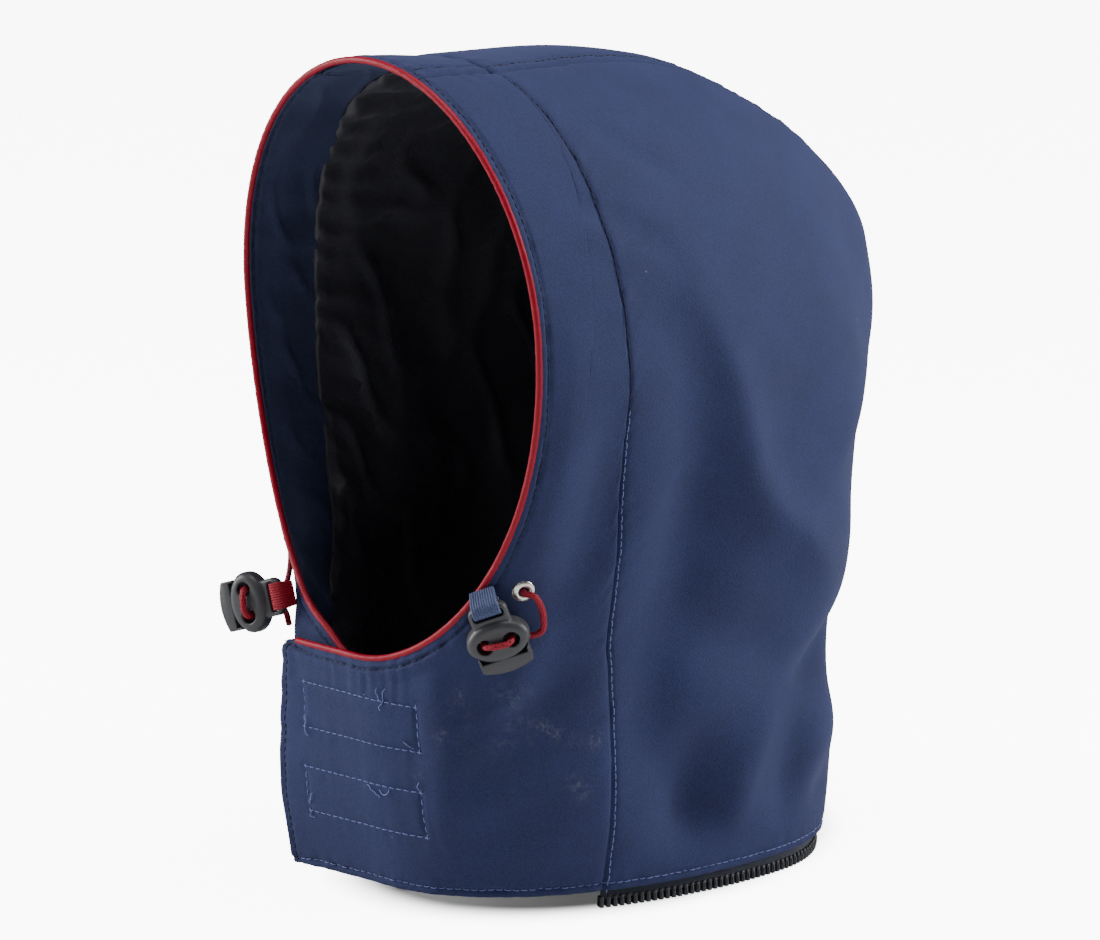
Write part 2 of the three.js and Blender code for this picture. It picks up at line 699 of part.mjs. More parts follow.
function lockButton() {
  const { capHalf, capTop, capBottom, capSide, earInner, earBottomTop } = LOCK;
  const { pocketThickness, stemHalf, stemTop } = LOCK;
  const ear = earInner + GAP;
  const cap = new THREE.Shape();
  cap.moveTo(-capHalf, capSide);
  cap.quadraticCurveTo(0, 2 * capBottom - capSide, capHalf, capSide);
  for (const [x, y] of [[capHalf, earBottomTop], [ear, earBottomTop], [ear, capTop], [-ear, capTop],
    [-ear, earBottomTop], [-capHalf, earBottomTop]]) cap.lineTo(x, y);
  const thickness = pocketThickness - 2 * GAP;
  const stem = boxSolid([2 * stemHalf, stemTop - capTop + 1, thickness], [0, (stemTop + capTop - 1) / 2, 0]);
  return fromSolid(flatSolid(cap, thickness).add(stem));
}

function addLocks() {
  for (const lock of LOCKS) {
    const frame = lockFrame(lock);
    add(`cord_lock_body_${lock.side}`, lockBody().applyMatrix4(frame), MATERIALS.plastic);
    add(`cord_lock_button_${lock.side}`, lockButton().applyMatrix4(frame), MATERIALS.plastic);
  }
}

// Webbing loops: a flat strip from the cloth, over the lug's bar, through its slot and back behind it

function ribbonAlong(points, across, width, thickness) {
  return sweepGeometry(points.map((point, i) => {
    const tangent = points[Math.min(i + 1, points.length - 1)].clone()
      .sub(points[Math.max(i - 1, 0)]).normalize();
    const side = across.clone().addScaledVector(tangent, -across.dot(tangent)).normalize();
    return boxSection(point, side, side.clone().cross(tangent), width, thickness);
  }));
}

const WEBBING = { width: 11, thickness: 1.0 };
// Stations in the lock's frame, from the cloth to the strip's end behind the bar
const WEBBING_ROUTE = {
  left: [
    { y: 18.6, z: -6.2 }, { y: 17.6, z: -2.4 }, { y: 16.9, z: 1.2 }, { y: 15.4, z: 3.1 }, { y: 13.4, z: 3.5 },
    { y: 11.9, z: 2.6 }, { y: 11.5, z: 0 }, { y: 11.9, z: -2.6 }, { y: 13.4, z: -3.4 }, { y: 15.2, z: -3.6 },
  ],
  right: [
    { y: 17.6, z: -4.7 }, { y: 17.3, z: -2.0 }, { y: 16.8, z: 0.9 }, { y: 15.6, z: 3.0 }, { y: 13.4, z: 3.5 },
    { y: 11.9, z: 2.6 }, { y: 11.5, z: 0 }, { y: 11.9, z: -2.6 }, { y: 13.4, z: -3.4 }, { y: 15.2, z: -3.6 },
  ],
};

function addWebbing() {
  for (const lock of LOCKS) {
    const frame = lockFrame(lock);
    const across = new THREE.Vector3().setFromMatrixColumn(frame, 0);
    const points = WEBBING_ROUTE[lock.side].map(({ y, z }) => new THREE.Vector3(0, y, z).applyMatrix4(frame));
    const geometry = ribbonAlong(points, across, WEBBING.width, WEBBING.thickness);
    add(`webbing_loop_${lock.side}`, geometry, lock.side === 'left' ? MATERIALS.navy : MATERIALS.red);
  }
}

// Eyelets: a ring with a barrel through the shell

function addEyelets() {
  const profile = [
    [EYELET.inner, -SHELL + 0.1], [EYELET.outer, -SHELL + 0.1], [EYELET.outer, GAP],
    [EYELET.flange, GAP], [EYELET.flange - 0.8, GAP + EYELET.rim], [EYELET.inner + 0.4, GAP + EYELET.rim],
    [EYELET.inner, -SHELL + 0.1],
  ].map(([radius, height]) => new THREE.Vector2(radius, height));
  for (const [side, sign] of [['left', 1], ['right', -1]]) {
    const { centre, axis } = eyeletFrame(sign);
    const ring = new THREE.LatheGeometry(profile, 14);
    ring.applyQuaternion(new THREE.Quaternion().setFromUnitVectors(new THREE.Vector3(0, 1, 0), axis));
    ring.translate(centre.x, centre.y, centre.z);
    add(`eyelet_${side}`, closedLathe(ring), MATERIALS.nickel);
  }
}

function closedLathe(geometry) {
  const bare = geometry.clone();
  bare.deleteAttribute('normal');
  bare.deleteAttribute('uv');
  const merged = mergeVertices(bare, 1e-5);
  return closedGeometry(Array.from(merged.attributes.position.array), Array.from(merged.index.array));
}

// Drawcord: out of the eyelet, behind the lock, through both its holes and behind it to the cloth again

function cordRoute(lock) {
  const frame = lockFrame(lock);
  const face = lock.side === 'left' ? tubePoint : (at, around) => rightFrontPoint(at, around / frontStart(at));
  const near = (at, degrees, height) => offsetPoint(face, at, THREE.MathUtils.degToRad(degrees), -height);
  const local = (x, y, z) => new THREE.Vector3(x, y, z).applyMatrix4(frame);
  const { centre, axis } = eyeletFrame(lock.sign);
  const out = (height) => centre.clone().addScaledVector(axis, height);
  const hole = LOCK.holeOffset;
  const through = [
    local(hole, 0, -5.2), local(hole, 0, 0), local(hole - 0.2, -0.3, 4.4), local(hole - 2.2, -0.4, 6.0),
    local(0, 0, 6.3), local(2.2 - hole, 0.4, 6.0), local(0.2 - hole, 0.3, 4.4), local(-hole, 0, 0),
    local(-hole, 0, -5.2),
  ];
  if (lock.side === 'left') {
    return [
      out(-0.6), out(2.0), near(0.89, 49.5, 4.6), near(0.85, 49.2, 4.2), near(0.80, 48.2, 3.6),
      near(0.76, 46.6, 2.8), near(0.77, 44.6, 2.4), ...through, near(0.90, 35.5, 2.4),
    ];
  }
  return [
    out(-0.6), out(2.0), near(0.885, 50, 5.0), near(0.83, 49, 6.0), near(0.775, 45, 9.0),
    local(hole + 2.5, -1.5, -9.0), ...through, local(-hole, -2.0, -9.5), near(0.83, 35, 5.0),
    near(0.80, 33, 2.2),
  ];
}

function addCords() {
  for (const lock of LOCKS) {
    const curve = new THREE.CatmullRomCurve3(cordRoute(lock), false, 'centripetal');
    const points = curve.getSpacedPoints(Math.round(curve.getLength() / (1.2 * CORD_DIAMETER)));
    add(`drawcord_${lock.side}`, tubeAlong(points, CORD_DIAMETER / 2, 8), MATERIALS.red);
  }
}

// Slider and pull at the wearer's right end of the zip

const SLIDER = {
  length: 11, height: 6.2, thickness: 7.2, wall: 1.3, middleHeight: 3.9, post: [1.6, 3.6, 3.2],
};
const PULL = {
  length: 30, width: 7, thickness: 1.3, hole: 1.25, armInner: 2.3, armLength: 6, turn: 64, lean: 10,
};

function sliderFrame() {
  const { centre, along, out } = hemFrame(2 * Math.PI - ZIP_START, ZIP_DEPTH);
  const frame = new THREE.Matrix4().makeBasis(along, out, along.clone().cross(out));
  const middle = centre.addScaledVector(along, SLIDER.length / 2 + GAP).setZ(SLIDER.middleHeight);
  return frame.setPosition(middle);
}

function addSlider() {
  const half = SLIDER.thickness / 2;
  const plate = [SLIDER.length, SLIDER.wall, SLIDER.height];
  const [postLength, postHeight, postWidth] = SLIDER.post;
  let body = boxSolid(plate, [0, half - SLIDER.wall / 2, 0]);
  body = body.add(boxSolid(plate, [0, -half + SLIDER.wall / 2, 0]));
  body = body.add(boxSolid([3, SLIDER.thickness - 1, SLIDER.height * 0.7], [SLIDER.length / 2 - 2, 0, 0]));
  for (const sign of [-1, 1]) {
    body = body.add(boxSolid(SLIDER.post, [2.4 * sign, half + postHeight / 2 - 0.2, 0]));
  }
  body = body.add(boxSolid([4.8 + postLength, 1, postWidth], [0, half + postHeight, 0]));
  add('zip_slider', fromSolid(body).applyMatrix4(sliderFrame()), MATERIALS.darkMetal);
}

// The pull's own frame: x along the pull, z along its hinge bar, which leans a little in its loose eye
function pullFrame() {
  const turn = new THREE.Matrix4().makeRotationZ(THREE.MathUtils.degToRad(PULL.turn));
  const lean = new THREE.Matrix4().makeRotationX(-THREE.MathUtils.degToRad(PULL.lean));
  const place = new THREE.Matrix4().makeTranslation(0, SLIDER.thickness / 2 + 1.6, 0);
  return sliderFrame().multiply(place).multiply(lean).multiply(turn);
}

function addPull() {
  const { length, width, thickness, hole, armInner, armLength } = PULL;
  const armWidth = width / 2 - armInner;
  let body = boxSolid([thickness, thickness, width], [0, 0, 0]);
  for (const sign of [-1, 1]) {
    const middle = sign * (armInner + armWidth / 2);
    body = body.add(boxSolid([armLength + 0.4, thickness, armWidth], [armLength / 2, 0, middle]));
  }
  const outline = roundedOutline(length - armLength, width, 2.4);
  const plate = new THREE.ExtrudeGeometry(outline, { depth: thickness, curveSegments: 4, bevelEnabled: false });
  plate.translate(0, 0, -thickness / 2).rotateX(Math.PI / 2);
  body = body.add(solidOf(plate.translate(armLength + (length - armLength) / 2 - 1, 0, 0)));
  const drill = new THREE.CylinderGeometry(hole, hole, 6, 10).translate(length - 4.5, 0, 0);
  add('zip_pull', fromSolid(body.subtract(solidOf(drill))).applyMatrix4(pullFrame()), MATERIALS.darkMetal);
}

addFrontPanels();
addBackPanels();
addPatches();
addPiping();
addTeeth();
addTape();
addLocks();
addWebbing();
addEyelets();
addCords();
addSlider();
addPull();

export default group;
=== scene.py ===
"""Detachable softshell hood: the looks of every piece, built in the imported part's own frame."""
import math

import bmesh
import bpy
import numpy as np
from bpy.props import FloatProperty, FloatVectorProperty, PointerProperty
from mathutils import Matrix, Vector, noise
from mathutils.bvhtree import BVHTree


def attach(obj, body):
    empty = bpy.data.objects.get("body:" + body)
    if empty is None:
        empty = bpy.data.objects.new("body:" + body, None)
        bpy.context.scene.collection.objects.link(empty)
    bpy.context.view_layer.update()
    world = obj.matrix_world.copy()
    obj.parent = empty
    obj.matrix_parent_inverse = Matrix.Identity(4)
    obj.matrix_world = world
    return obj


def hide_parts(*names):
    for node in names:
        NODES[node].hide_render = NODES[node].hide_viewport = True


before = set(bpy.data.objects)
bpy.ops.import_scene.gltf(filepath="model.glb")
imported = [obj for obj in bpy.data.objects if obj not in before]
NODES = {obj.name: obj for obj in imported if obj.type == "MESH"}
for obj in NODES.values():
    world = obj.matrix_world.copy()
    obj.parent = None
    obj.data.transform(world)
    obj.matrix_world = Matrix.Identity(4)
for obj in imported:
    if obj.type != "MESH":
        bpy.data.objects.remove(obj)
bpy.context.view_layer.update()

bl_info = {
    "name": "Detachable hood",
    "version": (1, 0, 0),
    "blender": (4, 5, 0),
    "location": "View3D > Sidebar > Hood",
    "description": "Builds the cloth, trims, cord locks and zip of a detachable hood",
    "category": "Object",
}

HOOD_BODY = "hood"

# Sizes are in millimetres, as in the part's source, and a mesh is written in metres
MM = 0.001
FOOTPRINT_MIDDLE_Y = 16.12
SHELL = 1.8
LINING = 1.0
GAP = 0.3
LINING_OUT = SHELL + GAP
LINING_IN = LINING_OUT + LINING
PATCH = 1.0
HOOK_OUT = LINING_IN + GAP + 0.1
LOOP_OUT = HOOK_OUT + PATCH + GAP
GUSSET_HALF = 29
FLAP_REACH_HEM = 50
FLAP_REACH_TOP = 46
FLAP_CORNER = 5.5
UNDERLAP_REACH = 30
UNDERLAP_DEPTH = 6.6
UNDERLAP_DROP = 6
CHIN_RISE = 96
SATIN_RADIUS = 1.32
CLOTH_INTO_PIPING = 0.9
FACING_STITCH = 2.4
# Height from which each side seam's stitching takes the darker thread: painted shade on its upper stitches
SEAM_SHADE_FROM = 205
FACING_SLACK = 1.3
LAP = 1.5
TOOTH_PITCH = 2.9
TOOTH_HEIGHT = 4.6
TOOTH_THICKNESS = 3.8
TAPE_THICKNESS = 1.0
TAPE_TOP = 17
ZIP_DEPTH = LINING_IN + GAP + 0.3 + TAPE_THICKNESS / 2
CORD_DIAMETER = 2.5

# One row for each loop of the bent tube of cloth, from the hem (at 0) to the face edge (at 1)
LOOP_COLUMNS = ("at", "chin_y", "chin_z", "back_y", "back_z", "half", "widest", "back_power", "recess")
LOOPS = (
    (0.00, -100, 7, 111, 9, 88, 0.66, 2.2, 0),
    (0.06, -102, 14, 118, 38, 90, 0.64, 2.1, 0),
    (0.13, -104, 22, 112, 70, 91, 0.63, 2.1, 1),
    (0.21, -106, 30, 119, 112, 93, 0.61, 2.0, 2),
    (0.29, -108, 39, 128, 156, 95, 0.59, 2.0, 3),
    (0.38, -109, 48, 137, 205, 96, 0.58, 2.0, 4),
    (0.46, -110, 57, 153, 242, 96, 0.55, 2.0, 5),
    (0.52, -110, 64, 149, 268, 95, 0.54, 2.0, 6),
    (0.60, -111, 71, 122, 294, 94, 0.53, 2.1, 8),
    (0.70, -111, 79, 78, 317, 94, 0.53, 2.2, 10),
    (0.78, -112, 86, 34, 331, 92, 0.54, 2.3, 12),
    (0.88, -112, 93, -20, 336, 90, 0.55, 2.3, 14),
    (0.95, -113, 98, -66, 336, 88, 0.56, 2.2, 16),
    (1.00, -113, 103, -108, 338, 85, 0.564, 2.0, 17),
)
BAND_SEAM_Z = (0, 40, 130, 215, 300, 345)
BAND_SEAM_Y = (-45, -46, -50, -52, -62, -66)

# Folds of the standing cloth: side, line on the tube as (at, degrees round), height, width, softness
FOLD_COLUMNS = ("side", "line", "height", "width", "softness")
FOLDS = (
    (1, ((0.80, 101), (0.73, 95.5), (0.63, 88.7), (0.53, 84.5), (0.42, 89.5), (0.345, 97.5), (0.30, 104)),
     6.4, 13, 0.4),
    (1, ((0.36, 106), (0.31, 112), (0.28, 122)), 5.0, 22, 8),
    (1, ((0.84, 98), (0.76, 92), (0.72, 86), (0.66, 78), (0.58, 71)), -5.5, 14, 6),
    (1, ((0.68, 82), (0.61, 75), (0.52, 67), (0.42, 62), (0.30, 62), (0.20, 67), (0.12, 72)), -7.5, 15, 4),
    (1, ((0.45, 68), (0.36, 75), (0.29, 85), (0.24, 92)), -4.5, 13, 4),
    (1, ((0.57, 133), (0.51, 129), (0.45, 125)), -4.0, 18, 9),
    (1, ((0.216, 126), (0.205, 116), (0.20, 108), (0.208, 100)), -6.5, 8, 2),
    (1, ((0.115, 98), (0.125, 110), (0.12, 126)), 6.5, 12, 6),
    (1, ((0.05, 106), (0.05, 118)), -3.5, 10, 4),
    (1, ((0.96, 21), (0.80, 21.5), (0.45, 21), (0.10, 20)), 1.7, 6, 2.5),
    (1, ((0.80, 38), (0.70, 31), (0.62, 25)), -2.2, 7, 3),
    (1, ((0.66, 52), (0.54, 42), (0.40, 28)), -2.6, 10, 4),
    (1, ((0.72, 46), (0.60, 36), (0.50, 26)), 1.7, 7, 3),
    (1, ((0.40, 50), (0.28, 40), (0.18, 28)), -2.0, 11, 5),
    (1, ((0.21, 74), (0.13, 72), (0.06, 69), (0.03, 67)), -7.0, 12, 3),
    (1, ((0.20, 87), (0.13, 82), (0.07, 79)), 4.2, 8, 2.5),
    (1, ((0.15, 98), (0.10, 94), (0.05, 90)), -5.0, 9, 3),
    (1, ((0.92, 139), (0.88, 130), (0.836, 124)), -1.3, 5, 2.5),
    (1, ((0.95, 119), (0.885, 112), (0.84, 108)), -1.1, 5, 2.5),
    (1, ((0.88, 80), (0.86, 74), (0.83, 66), (0.774, 55.6), (0.69, 44)), -4.6, 11, 4),
    (1, ((0.97, 92), (0.965, 76), (0.95, 62), (0.91, 53)), 2.0, 11, 6),
    (1, ((0.82, 46), (0.7, 33), (0.5, 26), (0.2, 24)), 1.6, 12, 6),
    (-1, ((0.80, 103), (0.72, 95), (0.62, 90), (0.50, 84), (0.38, 86), (0.26, 96)), 5.5, 16, 2.5),
    (-1, ((0.84, 92), (0.74, 83), (0.66, 74), (0.55, 66)), -3.8, 19, 9),
    (-1, ((0.20, 98), (0.16, 112), (0.14, 122)), 4.5, 18, 8),
    (-1, ((0.20, 78), (0.10, 75), (0.03, 73)), -2.8, 10, 5),
    (-1, ((0.86, 72), (0.82, 62), (0.76, 52), (0.68, 44)), -2.6, 12, 6),
)

# Cord locks: middle, the way the button points and the way the two cord holes line up
LOCKS = {
    "left": {"sign": 1, "middle": (63.6, -97.0, 119.0), "down": (0.046, 0.418, -0.907), "across": (0.67, 0.58, 0.38)},
    "right": {"sign": -1, "middle": (-63.8, -112.0, 114.5), "down": (-0.91, -0.27, -0.29),
              "across": (0.42, 0.03, -0.89)},
}
HOLE_OFFSET = 5.4
EYELET_AT = 0.909
EYELET_AROUND = math.radians(48.5)

# Camera, worked out from the photograph's perspective
IMAGE_WIDTH = 1100
IMAGE_HEIGHT = 940
CAMERA_AZIMUTH = math.radians(45)
CAMERA_ELEVATION = math.radians(11)
CAMERA_DISTANCE = 1500
CAMERA_TARGET = (0, 0, 170)
FOCAL_PIXELS = 3658.5
MIDDLE_PIXEL = (560, 450.7)
SENSOR_WIDTH = 36
# The floor glows to the camera, up to white from this far round the hood, in metres, and only faintly nearer: a painted
# shade round the hood, so that its own shadow still shows
GLOW_START = 0.100
GLOW_FULL = 0.130


# Curves and the surface of the hood

def curve_through(places, values):
    """A smooth curve through a table's rows that never overshoots them."""
    x = np.asarray(places, float)
    y = np.asarray(values, float)
    step = np.diff(x)
    slope = np.diff(y) / step
    product = slope[:-1] * slope[1:]
    total = slope[:-1] + slope[1:]
    inner = np.where(product > 0, 2 * product / np.where(total == 0, 1, total), 0)
    tangent = np.concatenate([[slope[0]], inner, [slope[-1]]])

    def value_at(place):
        q = np.clip(np.asarray(place, float), x[0], x[-1])
        i = np.clip(np.searchsorted(x, q, side="right") - 1, 0, len(step) - 1)
        t = (q - x[i]) / step[i]
        rise = t * t * (3 - 2 * t) * (y[i + 1] - y[i])
        bend = t * (1 - t) * ((1 - t) * tangent[i] - t * tangent[i + 1]) * step[i]
        return y[i] + rise + bend

    return value_at


LOOP_TABLE = np.array(LOOPS, float)
LOOP = {name: curve_through(LOOP_TABLE[:, 0], LOOP_TABLE[:, i]) for i, name in enumerate(LOOP_COLUMNS)}
chin_depth_at_height = curve_through(LOOP_TABLE[:, 2], LOOP_TABLE[:, 1])
band_seam_depth = curve_through(BAND_SEAM_Z, BAND_SEAM_Y)


def smooth(value, low, high):
    """A soft step from 0 at low to 1 at high."""
    t = np.clip((np.asarray(value, float) - low) / (high - low), 0, 1)
    return t * t * (3 - 2 * t)


def tube(at, around):
    """Points on the hood's outer face: at runs hem to face, around from 0 at the chin to pi at the crown."""
    at, around = np.broadcast_arrays(np.asarray(at, float), np.asarray(around, float))
    cosine, sine = np.cos(around), np.sin(around)
    power = np.where(cosine >= 0, 2.0, LOOP["back_power"](at))
    widest = LOOP["widest"](at)
    reach = np.abs(cosine) ** (2 / power)
    along = np.where(cosine >= 0, widest * (1 - reach), widest + (1 - widest) * reach)
    side = np.sign(sine) * np.abs(sine) ** (2 / power)
    run_y = LOOP["back_y"](at) - LOOP["chin_y"](at)
    run_z = LOOP["back_z"](at) - LOOP["chin_z"](at)
    length = np.hypot(run_y, run_z)
    recess = LOOP["recess"](at) * np.sin(np.pi * along ** 0.7)
    return np.stack([
        LOOP["half"](at) * side,
        LOOP["chin_y"](at) + run_y * along + recess * run_z / length,
        LOOP["chin_z"](at) + run_z * along - recess * run_y / length,
    ], -1)


def crown_seam(at):
    """Where round the tube the crown's gusset begins."""
    share = np.minimum(1, GUSSET_HALF / LOOP["half"](at))
    return np.pi - np.arcsin(share ** (LOOP["back_power"](at) / 2))


def find_band_seam(at):
    """Where round the tube the front panel meets the side panel, by halving."""
    low = np.full(np.shape(at), 0.15)
    high = np.full(np.shape(at), np.pi)
    for _ in range(40):
        middle = (low + high) / 2
        point = tube(at, middle)
        beyond = point[..., 1] > band_seam_depth(point[..., 2])
        high = np.where(beyond, middle, high)
        low = np.where(beyond, low, middle)
    return (low + high) / 2


SEAM_PLACES = np.linspace(0, 1, 1601)
SEAM_ANGLES = find_band_seam(SEAM_PLACES)


def band_seam(at):
    """The band seam's angle round the tube."""
    return np.interp(at, SEAM_PLACES, SEAM_ANGLES)


def find_corner():
    """The loop on which the band seam meets the crown seam."""
    low, high = 0.8, 1.0
    for _ in range(40):
        middle = (low + high) / 2
        if band_seam(middle) < crown_seam(middle):
            low = middle
        else:
            high = middle
    return (low + high) / 2


CORNER = find_corner()


def front_start(at):
    """Where round the tube the front panel ends."""
    return np.minimum(band_seam(at), crown_seam(at))


def flap_depth(side, height):
    """Y of the flat front, over which the flap lies."""
    slant = 0.13 + (np.asarray(height) - 7) / 96 * -0.15
    return chin_depth_at_height(height) + slant * side * np.abs(side) / (np.abs(side) + 15)


def left_front(at, across):
    """The wearer's left front: 1 at its back seam, 0 at the chin, -1 at the flap's free end."""
    at, across = np.broadcast_arrays(np.asarray(at, float), np.asarray(across, float))
    on_tube = tube(at, np.maximum(across, 0) * front_start(at))
    height = LOOP["chin_z"](at)
    top, low = LOOP["chin_z"](1.0), LOOP["chin_z"](0.0)
    above = np.clip((height - (top - FLAP_CORNER)) / FLAP_CORNER, 0, 1)
    below = np.clip(((low + FLAP_CORNER / 2) - height) / (FLAP_CORNER / 2), 0, 1)
    cut = FLAP_CORNER * (1 - np.sqrt(1 - above ** 2)) + FLAP_CORNER / 2 * (1 - np.sqrt(1 - below ** 2))
    reach = FLAP_REACH_HEM + (FLAP_REACH_TOP - FLAP_REACH_HEM) * at
    side = np.minimum(across, 0) * (reach - cut * smooth(-across, 0.5, 1))
    flap = np.stack([side, flap_depth(side, height), height], -1)
    return np.where((across >= 0)[..., None], on_tube, flap)


def right_tube(at, around):
    """The wearer's right face of the tube, drawn in behind the flap near the chin."""
    point = tube(at, -np.asarray(around, float))
    share = smooth(point[..., 0], -62, -42) * (1 - smooth(point[..., 2], 104, 132))
    share = np.where(np.cos(around) > 0, share, 0)
    under = flap_depth(point[..., 0], point[..., 2]) + UNDERLAP_DEPTH
    point[..., 1] += (under - point[..., 1]) * share
    return point


def right_front(at, across):
    """The wearer's right front, which runs on under the flap."""
    at, across = np.broadcast_arrays(np.asarray(at, float), np.asarray(across, float))
    side = np.minimum(1, np.abs(np.minimum(across, 0)) * UNDERLAP_REACH / LOOP["half"](at))
    under = tube(at, np.arcsin(side))
    under[..., 1] += UNDERLAP_DEPTH
    face = right_tube(at, np.maximum(across, 0) * front_start(at))
    return np.where((across >= 0)[..., None], face, under)


def right_edge(across):
    """The loop on which the wearer's right front ends: a little lower behind the flap."""
    across = np.asarray(across, float)
    side = tube(1, -np.maximum(across, 0) * front_start(1))[..., 0]
    drop = UNDERLAP_DROP / CHIN_RISE
    return np.where(across < 0, 1 - drop, 1 - drop * smooth(side, -30, -4))


def left_edge(across):
    """The loop on which the wearer's left front ends."""
    return np.ones(np.shape(across))


def unit(vectors):
    """Vectors at length 1."""
    length = np.linalg.norm(vectors, axis=-1, keepdims=True)
    return vectors / np.where(length < 1e-12, 1, length)


HOOD_MIDDLE = np.array([0.0, 10.0, 160.0])


def normals_of(face, at, across):
    """Outward normals of a face given by a function."""
    step = 1e-3
    along_loop = face(at, across + step) - face(at, across - step)
    along_tube = face(at + step, across) - face(at - step, across)
    normal = unit(np.cross(along_loop, along_tube))
    outward = np.sum(normal * (face(at, across) - HOOD_MIDDLE), -1, keepdims=True)
    return np.where(outward < 0, -normal, normal)


def metres(points):
    """Millimetres of the surface's own frame as metres of the row frame."""
    return (np.asarray(points, float) - [0, FOOTPRINT_MIDDLE_Y, 0]) * MM


# Grids of cloth

COARSEN = 4


def graded(length, fine, coarse, reach, fine_start=True, fine_end=True):
    """Shares from 0 to 1 along a length, closer together near its ends."""
    run = np.linspace(0, length, 4000)
    near = np.full_like(run, length)
    if fine_start:
        near = np.minimum(near, run)
    if fine_end:
        near = np.minimum(near, length - run)
    step = fine + (coarse - fine) * smooth(near, 0, reach)
    density = 1 / step
    count = np.concatenate([[0], np.cumsum((density[1:] + density[:-1]) / 2 * np.diff(run))])
    steps = COARSEN * math.ceil(count[-1] / COARSEN)
    return np.interp(np.linspace(0, count[-1], steps + 1), count, run) / length


def even_loops(seam, shares):
    """Loops that cut a seam line, from the hem to the corner, at these shares of its length."""
    at = CORNER * (1 - (1 - np.linspace(0, 1, 1500)) ** 3)
    point = tube(at, seam(at))
    run = np.concatenate([[0], np.cumsum(np.linalg.norm(np.diff(point, axis=0), axis=1))])
    return np.interp(shares, run / run[-1], at)


def waves(points, wavelength, seed, count=7):
    """Smooth noise between about -1 and 1: a sum of plane waves in seeded directions."""
    random = np.random.default_rng(seed)
    total = np.zeros(points.shape[:-1])
    for _ in range(count):
        direction = unit(random.normal(size=3))
        frequency = 2 * np.pi / (wavelength * random.uniform(0.75, 1.5))
        total += np.sin(points @ direction * frequency + random.uniform(0, 2 * np.pi))
    return total / math.sqrt(count) / 1.2


